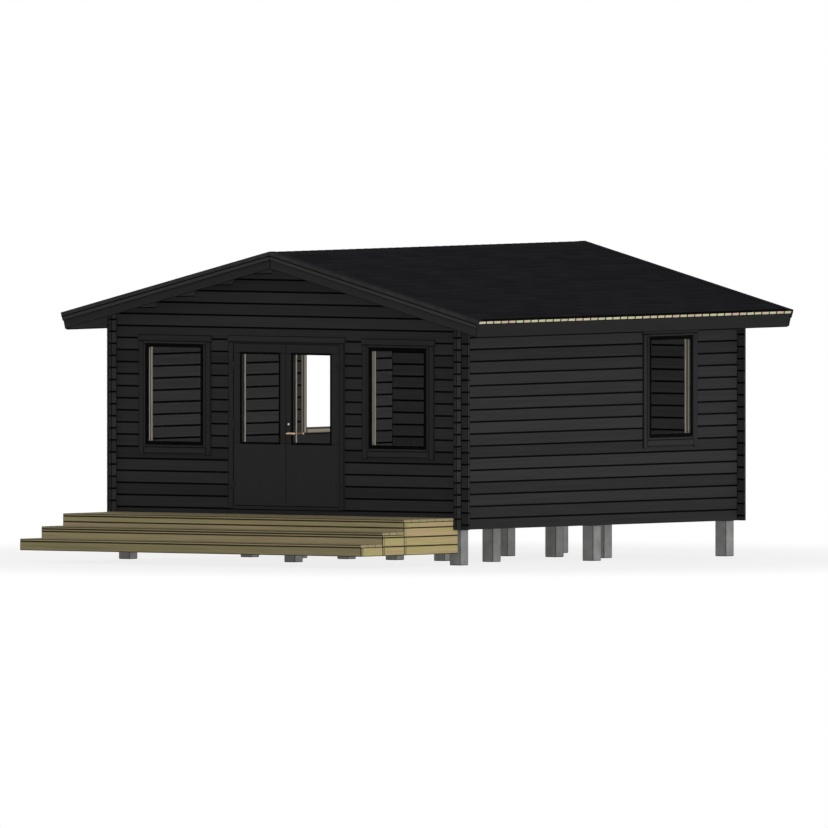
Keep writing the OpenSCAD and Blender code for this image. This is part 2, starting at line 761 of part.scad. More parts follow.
perimeter_piers();
inner_piers();
end_bearers();
floor_joists();
floor_boards();
front_sill_logs();
front_wall_left();
front_wall_right();
front_gable_wall();
back_wall();
left_wall();
right_wall();
purlins();
left_roof_boards();
right_roof_boards();
left_roofing();
right_roofing();
eave_fascias();
bargeboards();
verge_boards();
verge_flashings();
window_casings();
window_sashes();
window_linings();
window_panes();
door_side_casings();
door_head_casing();
door_jambs();
door_head();
door_threshold();
frame_hinge_halves();
left_door_leaf();
left_door_bead();
left_door_pane();
left_hinge_halves();
right_door_leaf();
right_door_bead();
right_door_pane();
right_hinge_halves();
lock_cylinder();
door_handle();
landing_boards();
tread_boards();
step_beams();
step_cheeks();
step_bearers();
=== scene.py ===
"""Looks of a black-stained log garden cabin: its boards, shingles, fittings, finishes, light and camera.

Lengths are in metres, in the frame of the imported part: +X right, +Y back, +Z up, ground at Z = 0.
"""

import json
import math

import bmesh
import bpy
import numpy as np
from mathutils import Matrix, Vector


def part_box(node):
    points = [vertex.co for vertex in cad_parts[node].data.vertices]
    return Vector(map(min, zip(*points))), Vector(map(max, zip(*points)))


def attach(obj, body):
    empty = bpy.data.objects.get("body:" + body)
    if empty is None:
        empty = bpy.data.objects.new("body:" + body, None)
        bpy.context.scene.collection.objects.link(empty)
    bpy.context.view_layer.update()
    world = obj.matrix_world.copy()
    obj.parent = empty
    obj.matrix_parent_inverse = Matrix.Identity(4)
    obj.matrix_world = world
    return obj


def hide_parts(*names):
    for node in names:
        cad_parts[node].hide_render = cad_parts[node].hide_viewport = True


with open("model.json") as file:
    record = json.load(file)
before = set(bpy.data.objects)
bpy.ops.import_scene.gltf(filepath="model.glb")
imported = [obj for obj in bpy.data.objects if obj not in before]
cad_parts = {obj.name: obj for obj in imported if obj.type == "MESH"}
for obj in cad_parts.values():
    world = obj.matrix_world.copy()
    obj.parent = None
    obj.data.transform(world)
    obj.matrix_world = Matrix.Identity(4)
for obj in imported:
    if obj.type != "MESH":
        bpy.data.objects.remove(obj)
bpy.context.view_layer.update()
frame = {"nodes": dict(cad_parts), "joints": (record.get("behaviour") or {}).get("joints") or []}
chance = np.random.default_rng(11)

MM = 0.001

# Logs and roof: the log pitch and the roof's slope are the part's own, the rest is read from the frame
LOG_PITCH = 135 * MM
END_JOINT_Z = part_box("front_wall_left")[0].z
SIDE_JOINT_Z = END_JOINT_Z + LOG_PITCH / 2
ROOF_PITCH = math.radians(14)
RIDGE_LEAN = math.tan(ROOF_PITCH)
RIDGE_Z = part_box("right_roofing")[1].z
ROOF_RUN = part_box("right_roofing")[1].x / math.cos(ROOF_PITCH)
ROOF_Y = (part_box("right_roofing")[0].y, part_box("right_roofing")[1].y)
ROOM_LOW, ROOM_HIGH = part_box("floor_boards")
ROOM_MARGIN = 1 * MM

# Log walls: the halves of the walls and logs are distances from the middle of the log box, along X and Y
FRONT_Y = (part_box("front_wall_left")[0].y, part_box("front_wall_left")[1].y)
BACK_Y = (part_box("back_wall")[0].y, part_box("back_wall")[1].y)
LOG_T = FRONT_Y[1] - FRONT_Y[0]
MIDDLE = (0.0, (FRONT_Y[0] + BACK_Y[1]) / 2)
WALL_HALF = (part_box("right_wall")[1].x - LOG_T / 2, (BACK_Y[0] - FRONT_Y[1] + LOG_T) / 2)
LOG_HALF = (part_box("back_wall")[1].x, (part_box("right_wall")[1].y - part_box("right_wall")[0].y) / 2)
ARRIS_W = 7 * MM
CORNER_SEAM_HALF = 5 * MM
# Half heights of the black at a V joint, part stain and part painted shade
JOINT_BLACK_HALF = 9.5 * MM
JOINT_SOFT_HALF = 11.5 * MM

# Finishes: shares of the paint's own brightness, for the end logs and the side logs where there are two
# The room side of the logs is painted lighter, as painted light
ROOM_SIDE_LIGHT = (1.85, 1.67)
# The corner seams and log-end arrises are painted darker, as painted shade
SEAM_SHADE_SHARE = 0.2
# The step beams are painted darker near the ground, as painted shade
LOW_SHADE_SHARE = 0.75
# Shift of the grain from log to log, and the values that most of a noise lies between
LOG_GRAIN_STEP = (3.7, 1.3, 0.7)
NOISE_LOW, NOISE_HIGH = 0.3, 0.7
DULL = {"Roughness": 1.0, "Specular IOR Level": 0.0}
WHITE = (1.0, 1.0, 1.0, 1.0)

# Roof layers and edges: depths are below the top of the shingles, square to the slope
SHINGLE_DEPTH = 12 * MM
ROOF_BOARD_DEPTH = 40 * MM
FASCIA_DEPTH = 199 * MM
VERGE_BOARD_DEPTH = 93 * MM
BARGEBOARD_DEPTH = 188 * MM
VERGE_BOARD_T = 18 * MM
FASCIA_T = 28 * MM
FASCIA_INSET = 5 * MM
MITRE_GAP = 3 * MM
MITRE_RUN = MITRE_GAP / 2 / math.cos(ROOF_PITCH)
FLASHING_T = 2 * MM
FLASHING_LIP = 41 * MM
FLASHING_TOP_W = 100 * MM
# Width of a black strip under each verge lip, as painted shade
LIP_SHADE_W = 12 * MM
EAVE_STRIP_TOP = 2 * MM
EAVE_STRIP_W = 55 * MM

# Boards
ROOF_BOARD_W = 137 * MM
ROOF_BOARD_GAP = 20 * MM
FLOOR_BOARD_W = 95 * MM
FLOOR_BOARD_GAP = 1 * MM
STEP_BEAM_H = 101.3 * MM
EDGE_R = 3 * MM
PIER_EDGE_R = 6 * MM
LINING_EDGE_R = 2 * MM
FINE_EDGE_R = 1 * MM
SHEET_EDGE_R = 0.2 * MM
# Widths of the dark band along board edges: part wearing, part painted shade in gaps and on arrises
WEAR_AND_SHADE_W = 9 * MM
DECK_WEAR_AND_SHADE_W = 10 * MM
# The roof, lining, bead, verge and eave bands are painted shade only
ROOF_SHADE_W = 1.5 * MM
LINING_SHADE_W = 14 * MM
BEAD_SHADE_W = 7 * MM
VERGE_SHADE_W = 14 * MM
FASCIA_SHADE_W = 12 * MM
EDGE_SHARE = 0.2
WEAR_AND_SHADE_SHARE = 0.4
GRAIN_SPREAD = np.array([9.0, 3.0, 3.0])
SCREW_PLACES = np.array([0.22, 0.78])
SCREW_SUNK = 1 * MM
SCREW_HEAD = ((0.0, 4.0 * MM), (1.2 * MM, 4.0 * MM), (1.4 * MM, 3.6 * MM), (1.1 * MM, 1.6 * MM))

# Shingles
SHINGLE_ROW = 145 * MM
SHINGLE_LAP = 60 * MM
SHINGLE_TAB_W = 333 * MM
SHINGLE_SLOT = 7 * MM
SHINGLE_T = 3 * MM
SHINGLE_TOP = 3.5 * MM
SHINGLE_SHIFT = 3 * MM
UNDERLAY_T = 1.2 * MM
CAP_ARM = 130 * MM
CAP_TOP = 0.3 * MM
CAP_T = 2.4 * MM

# Window and door frames
CASING_W = 70 * MM
CASING_EAR = 15 * MM
CASING_TAIL = 18 * MM
SASH_FACE = 66 * MM
SASH_RIM = 26 * MM
GASKET_DEPTH = 3 * MM
INNER_SASH_T = 43 * MM
LINING_STEP = 8 * MM
LINING_GAP = 14 * MM
DOOR_BEAD_W = 24 * MM
LEAF_GASKET_W = 24 * MM
LEAF_GASKET_PROUD = 1.5 * MM
LEAF_GASKET_T = 6 * MM
SEAL_T = 12 * MM
SEAL_H = 4.5 * MM

# Door fittings
LEVER_BEND_R = 14 * MM
LEVER_NECK_R = 7.5 * MM
LEVER_GRIP_R = 9.3 * MM
LEVER_TALL = 1.5
LEVER_TIP_R = 0.2 * MM
LEVER_BEND_STATIONS = 9
LEVER_GRIP_STATIONS = 15
LEVER_BALL_STATIONS = 8
ROSE_R = 16 * MM
FITTING_SUNK = 2 * MM
ROSE_PROFILE = ((-FITTING_SUNK, ROSE_R), (4 * MM, ROSE_R), (6 * MM, ROSE_R - 1.5 * MM),
                (6.4 * MM, ROSE_R - 3 * MM), (6.4 * MM, 9 * MM))
# Face of the lock: distances back from its tip, and how far the radius is drawn in there
LOCK_FACE = ((3 * MM, 0.0), (1 * MM, 2 * MM), (0.0, 3 * MM), (0.0, 5 * MM), (1.5 * MM, 6 * MM))
SHARP_ANGLE = math.radians(32)
ROUND_SIDES = 28
SCREW_SIDES = 8


# Meshes

def solid_boxes(node):
    """Low and high corners of a node's separate solids.

    Corners that share a place share a label, and the lowest label spreads over every triangle until
    nothing changes, so each solid ends with one label of its own.
    """
    mesh = frame["nodes"][node].data
    corner = np.empty(len(mesh.vertices) * 3)
    mesh.vertices.foreach_get("co", corner)
    place, label = np.unique(np.round(corner.reshape(-1, 3), 5), axis=0, return_inverse=True)
    mesh.calc_loop_triangles()
    triangle = np.empty(len(mesh.loop_triangles) * 3, dtype=np.int32)
    mesh.loop_triangles.foreach_get("vertices", triangle)
    triangle = label.reshape(-1)[triangle].reshape(-1, 3)
    group = np.arange(len(place))
    settled = False
    while not settled:
        spread = group.copy()
        np.minimum.at(spread, triangle.ravel(), np.repeat(group[triangle].min(axis=1), 3))
        settled = np.array_equal(spread, group)
        group = spread
    solids = [place[group == name] for name in np.unique(group)]
    low = np.array([solid.min(axis=0) for solid in solids])
    high = np.array([solid.max(axis=0) for solid in solids])
    return low, high


def swept_faces(pieces, stations, points):
    """Quads between neighbouring stations and neighbouring profile points, and both end profiles as caps."""
    first = np.arange(pieces) * stations * points
    base = first[:, None, None] + np.arange(stations - 1)[None, :, None] * points
    this = np.arange(points)
    after = (this + 1) % points
    quads = np.stack([base + this, base + after, base + points + after, base + points + this], axis=-1)
    last = first[:, None] + (stations - 1) * points
    caps = np.concatenate([first[:, None] + this[::-1], last + this])
    return quads.reshape(-1, 4).tolist() + caps.tolist()


def make_piece(name, rings, finish, slot, body="cabin", stands_for=(), turn_out=False, **layers):
    """One object from rings of shape (pieces, stations, profile points, 3), each piece closed with caps."""
    mesh = bpy.data.meshes.new(name)
    mesh.from_pydata(rings.reshape(-1, 3).tolist(), [], swept_faces(*rings.shape[:3]))
    for key, values in layers.items():
        kind, field = ("FLOAT_VECTOR", "vector") if values.ndim == 4 else ("FLOAT", "value")
        layer = mesh.attributes.new(key, kind, "POINT")
        layer.data.foreach_set(field, np.ascontiguousarray(values, dtype=np.float32).ravel())
    if turn_out:
        work = bmesh.new()
        work.from_mesh(mesh)
        bmesh.ops.recalc_face_normals(work, faces=work.faces)
        work.to_mesh(mesh)
        work.free()
    mesh.shade_smooth()
    mesh.set_sharp_from_angle(angle=SHARP_ANGLE)
    mesh.materials.append(finish)
    piece = bpy.data.objects.new(name, mesh)
    bpy.context.scene.collection.objects.link(piece)
    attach(piece, body)
    if stands_for:
        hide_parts(*stands_for)
    return piece


def own_tones(rings):
    """One random tone for each piece, the same all over it."""
    return np.broadcast_to(chance.random(len(rings))[:, None, None], rings.shape[:3])


def box_frames(low, high, axis):
    """Corner, length, width and thickness vectors of upright boxes whose length lies along one axis."""
    low = np.atleast_2d(low)
    edge = np.eye(3)[None] * (np.atleast_2d(high) - low)[:, :, None]
    return low, edge[:, axis], edge[:, (axis + 1) % 3], edge[:, (axis + 2) % 3]


def joined(*groups):
    """Several groups of board frames as one group."""
    return tuple(np.concatenate(part) for part in zip(*groups))


def board_rings(corner, along, across, up, edge, wear, lean, shaded_sides, dark_ends):
    """Rings of boards: a rectangle with rounded corners carried along a straight path.

    Each corner of the profile is a quarter turn of five points, from a band width before the corner,
    round the edge radius, to a band width after it. Along that band the edge is painted darker, partly from
    wearing and partly as painted shade. Eight stations carry it from end to end: the outer two at each end
    lie in the end face, drawn in by the band width and by the edge radius. A lean slants the start by the
    depth below the top. Shaded sides take the painted shade over their whole height, and ends that aren't
    dark have no dark outline.
    """
    left_handed = np.einsum("ij,ij->i", np.cross(along, across), up)[:, None] < 0
    corner = corner + across * left_handed
    across = np.where(left_handed, -across, across)
    size = np.stack([np.linalg.norm(side, axis=1) for side in (along, across, up)], axis=1)
    unit = np.stack([along, across, up], axis=1) / size[:, :, None]
    thin = size[:, 1:].min(axis=1)
    r = np.minimum(edge, thin * EDGE_SHARE)
    w = np.minimum(wear, thin * WEAR_AND_SHADE_SHARE)
    nil = np.zeros_like(r)
    arc = r * (1 - math.sqrt(0.5))
    turn = np.stack([np.stack(pair, axis=1)
                     for pair in ((nil, w), (nil, r), (arc, arc), (r, nil), (w, nil))], axis=1)
    quarter = np.array([[0.0, 1.0], [-1.0, 0.0]])
    turns = [turn @ np.linalg.matrix_power(quarter, k) for k in range(4)]
    anchor = np.repeat([[0, 0], [1, 0], [1, 1], [0, 1]], turn.shape[1], axis=0)
    face = size[:, None, 1:]
    full = anchor * face + np.concatenate(turns, axis=1)
    inset = np.clip(full, r[:, None, None], face - r[:, None, None])
    middle = np.clip(full, w[:, None, None], face - w[:, None, None])
    section = np.stack([middle, inset, full, full, full, full, inset, middle], axis=1)
    end = size[:, 0]
    station = np.stack([nil, nil, r, w, end - w, end - r, end, end], axis=1)
    starts = np.array([1, 1, 1, 1, 0, 0, 0, 0])[None, :, None]
    slant = lean * (size[:, None, None, 2] - section[..., 1]) * starts
    local = np.concatenate([(station[:, :, None] + slant)[..., None], section], axis=-1)
    rings = corner[:, None, None] + np.einsum("nspk,nkd->nspd", local, unit)
    worn_and_shaded = np.ones(rings.shape[:3])
    worn_and_shaded[:, [0, 7]] = 0
    worn_and_shaded[:, 3:5] = np.tile([0, 1, 1, 1, 0], 4)
    if not dark_ends:
        worn_and_shaded[:, [1, 6]] = 0
        worn_and_shaded[:, [2, 5]] = worn_and_shaded[:, 3:5]
    # Side faces painted dark over their whole height, as painted shade in the gaps
    if shaded_sides:
        worn_and_shaded[:, 3:5, [0, 9, 10, 19]] = 1
    return rings, local, worn_and_shaded


def make_boards(name, frames, finish, slot, body="cabin", stands_for=(), edge=EDGE_R, wear=WEAR_AND_SHADE_W,
                lean=0.0, shaded_sides=False, dark_ends=True):
    """Boards as one object. Each keeps its own tone, its own stretch of grain and its darkened edges."""
    # The darkened edges are part wearing and part painted shade
    rings, local, worn_and_shaded = board_rings(*frames, edge, wear, lean, shaded_sides, dark_ends)
    tone = own_tones(rings)
    grain = local + chance.random((len(rings), 1, 1, 3)) * GRAIN_SPREAD
    return make_piece(name, rings, finish, slot, body, stands_for, grain=grain, tone=tone, wear=worn_and_shaded)


def make_turned(name, foot, axis, stations, sides, finish, slot, body="cabin", stands_for=()):
    """Round pieces on one axis: a circle carried along it, with a radius given at each distance."""
    away = np.asarray(axis, dtype=float)
    first = np.cross(away, (0.0, 0.0, 1.0) if abs(away[2]) < 0.9 else (1.0, 0.0, 0.0))
    second = np.cross(away, first)
    angle = np.linspace(0, 2 * math.pi, sides, endpoint=False)
    circle = np.cos(angle)[:, None] * first + np.sin(angle)[:, None] * second
    distance, radius = np.array(stations).T
    centre = np.atleast_2d(foot)[:, None, None] + distance[None, :, None, None] * away
    rings = centre + radius[None, :, None, None] * circle
    return make_piece(name, rings, finish, slot, body, stands_for, tone=own_tones(rings))


# Colour and shader nodes

def colour(code):
    """Linear colour of an sRGB hex code: ((c + 0.055) / 1.055) to the power 2.4, or c / 12.92 when dark."""
    share = np.array([int(code[i:i + 2], 16) for i in (1, 3, 5)]) / 255
    linear = np.where(share > 0.04045, ((share + 0.055) / 1.055) ** 2.4, share / 12.92)
    return (*linear.tolist(), 1.0)


def add(tree, kind, links=None, stops=(), **settings):
    """Adds one shader node and gives its outputs.

    Settings are its properties, links its inputs, as values or as sockets, and stops the (place, hex)
    pairs of a colour ramp.
    """
    made = tree.nodes.new("ShaderNode" + kind)
    for key, value in settings.items():
        setattr(made, key, value)
    for key, value in (links or {}).items():
        if isinstance(value, bpy.types.NodeSocket):
            tree.links.new(value, made.inputs[key])
        else:
            made.inputs[key].default_value = value
    if stops:
        band = made.color_ramp.elements
        while len(band) < len(stops):
            band.new(1.0)
        for element, (place, code) in zip(band, stops):
            element.position = place
            element.color = colour(code)
    return made.outputs


def start_finish(name, settings):
    """A new material, its node tree, and its Principled shader with what is the same all over set."""
    material = bpy.data.materials.new(name)
    material.use_nodes = True
    tree = material.node_tree
    shader = tree.nodes["Principled BSDF"]
    for key, value in settings.items():
        shader.inputs[key].default_value = value
    return material, tree, shader


def coat(tree, shader, paint, height, depth, strength):
    """Gives the shader its paint, and a relief from a height of 0 to 1 that stands for a real depth."""
    relief = add(tree, "Bump", {"Height": height, "Distance": depth, "Strength": strength})[0]
    tree.links.new(paint, shader.inputs["Base Color"])
    tree.links.new(relief, shader.inputs["Normal"])


def grain_place(tree, axis):
    """Place in the wood with the grain first: the board's own, or the Object place from one axis on."""
    if axis is None:
        return add(tree, "Attribute", attribute_name="grain")["Vector"]
    place = add(tree, "SeparateXYZ", {0: add(tree, "TexCoord")["Object"]})
    return add(tree, "CombineXYZ", {0: place[axis], 1: place[(axis + 1) % 3], 2: place[(axis + 2) % 3]})[0]


def streaks(tree, place, length, width, **settings):
    """Noise drawn out along the grain, from the real length and width of a streak."""
    stretched = add(tree, "Mapping", {"Vector": place, "Scale": (1 / length, 1 / width, 1 / width)})[0]
    return add(tree, "TexNoise", {"Vector": stretched, "Scale": 1.0, "Detail": 3.0, **settings})[0]


def worn_and_shaded_edges(tree):
    """How far a board's edge is painted darker: full over most of the band, gone just inside it."""
    # The darker edge is part wearing and part painted shade
    wear = add(tree, "Attribute", attribute_name="wear")["Fac"]
    return add(tree, "MapRange", {0: wear, 1: 0.1, 2: 0.5, 3: 0.0, 4: 1.0})[0]


def toned(tree, paint, weight, share):
    """Paint multiplied by a share where the weight is 1, and left alone where it is 0."""
    level = add(tree, "MapRange", {0: weight, 1: 0.0, 2: 1.0, 3: 1.0, 4: share})[0]
    return add(tree, "VectorMath", {0: paint, 1: level}, operation="MULTIPLY")[0]


def off_by(tree, value, middle):
    """Distance of a value from a middle, never negative."""
    return add(tree, "Math", {0: add(tree, "Math", {0: value, 1: middle}, operation="SUBTRACT")[0]},
               operation="ABSOLUTE")[0]


def corner_lines(tree, spot, axis):
    """1 along the upright arrises of the log ends and along the seams where logs cross the other wall."""
    # Painted shade goes on these arrises and seams
    along = off_by(tree, spot[axis], MIDDLE[axis])
    across = off_by(tree, off_by(tree, spot[1 - axis], MIDDLE[1 - axis]), WALL_HALF[1 - axis])
    crossing = off_by(tree, along, WALL_HALF[axis])
    seam = add(tree, "Math", {0: crossing, 1: LOG_T / 2, 2: CORNER_SEAM_HALF}, operation="COMPARE")[0]
    at_end = add(tree, "Math", {0: along, 1: LOG_HALF[axis] - ARRIS_W}, operation="GREATER_THAN")[0]
    at_face = add(tree, "Math", {0: across, 1: LOG_T / 2 - ARRIS_W}, operation="GREATER_THAN")[0]
    arris = add(tree, "Math", {0: at_end, 1: at_face}, operation="MULTIPLY")[0]
    return add(tree, "Math", {0: seam, 1: arris}, operation="MAXIMUM")[0]


# Finishes

def stained_logs(name, axis, joint_z, corners=True):
    """Spruce logs, planed and sprayed with opaque black stain.

    The eye sees a dead-matt charcoal with faint long streaks, one tone a log, and a black line in
    every V joint and corner seam, part stain run together and part painted shade where no light reaches.
    """
    material, tree, shader = start_finish(name, {"Roughness": 0.85, "Specular IOR Level": 0.05})
    place = grain_place(tree, axis)
    spot = add(tree, "SeparateXYZ", {0: add(tree, "TexCoord")["Object"]})
    above = add(tree, "Math", {0: spot["Z"], 1: joint_z}, operation="SUBTRACT")[0]
    course = add(tree, "Math", {0: above, 1: LOG_PITCH}, operation="DIVIDE")[0]
    log = add(tree, "Math", {0: course}, operation="FLOOR")[0]
    tone = add(tree, "TexWhiteNoise", {"W": log}, noise_dimensions="1D")["Value"]
    own = add(tree, "VectorMath", {0: log, 1: LOG_GRAIN_STEP, 2: place}, operation="MULTIPLY_ADD")[0]
    fine = streaks(tree, own, length=900 * MM, width=14 * MM)
    mixed = add(tree, "Mix", {"Factor": 0.35, "A": fine, "B": tone})[0]
    paint = add(tree, "ValToRGB", {0: mixed}, stops=((NOISE_LOW, "#242425"), (NOISE_HIGH, "#2d2d2e")))[0]
    # Faces towards the room are painted lighter, as painted light, since less light reaches the room
    inside = [add(tree, "Math", {0: spot[i], 1: (ROOM_LOW[i] + ROOM_HIGH[i]) / 2,
                                 2: (ROOM_HIGH[i] - ROOM_LOW[i]) / 2 + ROOM_MARGIN}, operation="COMPARE")[0]
              for i in (0, 1)]
    thin = add(tree, "Math", {0: inside[0], 1: inside[1]}, operation="MULTIPLY")[0]
    paint = toned(tree, paint, thin, ROOM_SIDE_LIGHT[axis])
    # Painted shade along the corner seams and the log-end arrises
    if corners:
        paint = toned(tree, paint, corner_lines(tree, spot, axis), SEAM_SHADE_SHARE)
    # The V joint is 12 mm high and would show only faintly, so its black is drawn wider, with soft edges
    # The black is part stain run together and part painted shade
    near = add(tree, "Math", {0: course, 1: 0.5}, operation="PINGPONG")[0]
    joint = add(tree, "MapRange", {0: near, 1: JOINT_BLACK_HALF / LOG_PITCH, 2: JOINT_SOFT_HALF / LOG_PITCH,
                                   3: 1.0, 4: 0.0})[0]
    coat(tree, shader, toned(tree, paint, joint, share=0.0), fine, depth=0.6 * MM, strength=0.5)
    return material


def stained_boards(name, dark, light, axis=None, edge_share=0.15):
    """Planed spruce boards under the same black stain: flatter than the logs, darker along their arrises."""
    material, tree, shader = start_finish(name, {"Roughness": 0.8, "Specular IOR Level": 0.06})
    fine = streaks(tree, grain_place(tree, axis), length=700 * MM, width=9 * MM)
    tone = add(tree, "Attribute", attribute_name="tone")["Fac"]
    mixed = add(tree, "Mix", {"Factor": 0.3, "A": fine, "B": tone})[0]
    paint = add(tree, "ValToRGB", {0: mixed}, stops=((NOISE_LOW, dark), (NOISE_HIGH, light)))[0]
    # Darker arrises: part wearing, part painted shade
    coat(tree, shader, toned(tree, paint, worn_and_shaded_edges(tree), edge_share), fine, depth=0.4 * MM, strength=0.5)
    return material


def bare_pine(name, *tones, axis=None):
    """Planed pine, untreated: pale, each board in one of its tones, with darker late wood."""
    material, tree, shader = start_finish(name, {"Roughness": 0.6, "Specular IOR Level": 0.3})
    place = grain_place(tree, axis)
    tone = add(tree, "Attribute", attribute_name="tone")["Fac"]
    stops = [(i / (len(tones) - 1), code) for i, code in enumerate(tones)]
    board = add(tree, "ValToRGB", {0: tone}, stops=stops)[0]
    rings = streaks(tree, place, length=1200 * MM, width=12 * MM, Distortion=0.8)
    late = add(tree, "MapRange", {0: rings, 1: 0.5, 2: 0.75, 3: 0.0, 4: 1.0})[0]
    paint = toned(tree, board, late, share=0.8)
    # Darker arrises: part wearing, part painted shade
    coat(tree, shader, toned(tree, paint, worn_and_shaded_edges(tree), share=0.12), rings, depth=0.4 * MM, strength=0.4)
    return material


def treated_decking(name, sapwood, middle, heartwood, axis=None, low_shade_z=0.0):
    """Pressure-treated pine: green salts in the sapwood, so olive and tan streaks lie side by side.

    Below a given height, near the ground, it is painted darker, as painted shade.
    """
    material, tree, shader = start_finish(name, {"Roughness": 0.85, "Specular IOR Level": 0.06})
    place = grain_place(tree, axis)
    tone = add(tree, "Attribute", attribute_name="tone")["Fac"]
    salts = streaks(tree, place, length=1100 * MM, width=60 * MM, Distortion=1.2)
    mixed = add(tree, "Mix", {"Factor": 0.15, "A": salts, "B": tone})[0]
    body = add(tree, "ValToRGB", {0: mixed},
               stops=((NOISE_LOW, sapwood), (0.5, middle), (NOISE_HIGH, heartwood)))[0]
    rings = streaks(tree, place, length=900 * MM, width=10 * MM, Distortion=0.6)
    late = add(tree, "MapRange", {0: rings, 1: 0.45, 2: 0.75, 3: 0.0, 4: 1.0})[0]
    paint = toned(tree, body, late, share=0.72)
    # Painted shade near the ground
    if low_shade_z:
        height = add(tree, "SeparateXYZ", {0: add(tree, "TexCoord")["Object"]})["Z"]
        low_shade = add(tree, "Math", {0: height, 1: low_shade_z}, operation="LESS_THAN")[0]
        paint = toned(tree, paint, low_shade, LOW_SHADE_SHARE)
    # Darker arrises: part wearing, part painted shade
    coat(tree, shader, toned(tree, paint, worn_and_shaded_edges(tree), share=0.08), rings, depth=0.6 * MM, strength=0.6)
    return material


def cast_concrete():
    """Concrete cast in plywood forms: mid grey and cloudy, with sand grains, air holes and dark arrises."""
    material, tree, shader = start_finish("cast_concrete", {"Roughness": 0.9, "Specular IOR Level": 0.2})
    place = add(tree, "TexCoord")["Object"]
    cloud = add(tree, "TexNoise", {"Vector": place, "Scale": 1 / (120 * MM), "Detail": 4.0})[0]
    # Sand grains of 1 mm would not show, so they are drawn at 6 mm
    sand = add(tree, "TexNoise", {"Vector": place, "Scale": 1 / (6 * MM), "Detail": 2.0})[0]
    mixed = add(tree, "Mix", {"Factor": 0.35, "A": cloud, "B": sand})[0]
    paint = add(tree, "ValToRGB", {0: mixed}, stops=((NOISE_LOW, "#6a6a69"), (NOISE_HIGH, "#838483")))[0]
    hole = add(tree, "TexVoronoi", {"Vector": place, "Scale": 1 / (28 * MM)})["Distance"]
    pit = add(tree, "MapRange", {0: hole, 1: 0.06, 2: 0.14, 3: 1.0, 4: 0.0})[0]
    paint = toned(tree, paint, pit, share=0.5)
    dent = add(tree, "Math", {0: sand, 1: pit}, operation="SUBTRACT")[0]
    # Darker arrises: part wearing, part painted shade
    coat(tree, shader, toned(tree, paint, worn_and_shaded_edges(tree), share=0.35), dent, depth=1.2 * MM, strength=0.6)
    return material


def mineral_shingle():
    """Bitumen shingle dressed with crushed slate: near black, rough, with a speckle of paler chips."""
    material, tree, shader = start_finish("slate_dressed_bitumen", DULL)
    place = add(tree, "TexCoord")["Object"]
    # Chips of 1.5 mm would not show, so they are drawn at 8 mm
    chips = add(tree, "TexNoise", {"Vector": place, "Scale": 1 / (8 * MM), "Detail": 3.0})[0]
    tone = add(tree, "Attribute", attribute_name="tone")["Fac"]
    mixed = add(tree, "Mix", {"Factor": 0.15, "A": chips, "B": tone})[0]
    paint = add(tree, "ValToRGB", {0: mixed}, stops=((0.25, "#1a1a1c"), (0.75, "#2b2b2e")))[0]
    # Each tab is darker towards its butt
    wear = add(tree, "Attribute", attribute_name="wear")["Fac"]
    coat(tree, shader, toned(tree, paint, wear, share=0.75), chips, depth=1.5 * MM, strength=0.8)
    return material


def clouded(tree, shader, cloud, dark, light, roughness, spread):
    """A cloudy tint from dark to light, and a roughness that follows it by the spread each way."""
    gloss = add(tree, "MapRange", {0: cloud, 1: NOISE_LOW, 2: NOISE_HIGH,
                                   3: roughness - spread, 4: roughness + spread})[0]
    tree.links.new(gloss, shader.inputs["Roughness"])
    return add(tree, "ValToRGB", {0: cloud}, stops=((NOISE_LOW, dark), (NOISE_HIGH, light)))[0]


def coated_steel(name, dark, light, roughness):
    """Steel sheet with a baked matt coat: even, a little orange peel, thin cloudy scuffs."""
    material, tree, shader = start_finish(name, {"Specular IOR Level": 0.0})
    place = add(tree, "TexCoord")["Object"]
    scuff = add(tree, "TexNoise", {"Vector": place, "Scale": 1 / (90 * MM), "Detail": 5.0})[0]
    paint = clouded(tree, shader, scuff, dark, light, roughness, spread=0.08)
    peel = add(tree, "TexNoise", {"Vector": place, "Scale": 1 / (4 * MM)})[0]
    coat(tree, shader, paint, peel, depth=0.1 * MM, strength=0.2)
    return material


def moulded_rubber():
    """Glazing rubber and sealing strip, pressed in a mould: dull black, with a faint bloom on the skin."""
    material, tree, shader = start_finish("black_moulded_rubber", {**DULL, "Roughness": 0.9})
    place = add(tree, "TexCoord")["Object"]
    bloom = add(tree, "TexNoise", {"Vector": place, "Scale": 1 / (70 * MM), "Detail": 3.0})[0]
    paint = add(tree, "ValToRGB", {0: bloom}, stops=((NOISE_LOW, "#080808"), (NOISE_HIGH, "#0e0e0f")))[0]
    coat(tree, shader, paint, bloom, depth=0.1 * MM, strength=0.2)
    return material


def turned_metal(name, dark, light, roughness):
    """Turned and brushed metal: a fine unevenness that spreads the highlight, and a cloudy tint."""
    material, tree, shader = start_finish(name, {"Metallic": 1.0})
    place = add(tree, "TexCoord")["Object"]
    cloud = add(tree, "TexNoise", {"Vector": place, "Scale": 1 / (15 * MM), "Detail": 3.0})[0]
    paint = clouded(tree, shader, cloud, dark, light, roughness, spread=0.06)
    brush = add(tree, "TexNoise", {"Vector": place, "Scale": 1 / (0.8 * MM)})[0]
    coat(tree, shader, paint, brush, depth=0.05 * MM, strength=0.15)
    return material


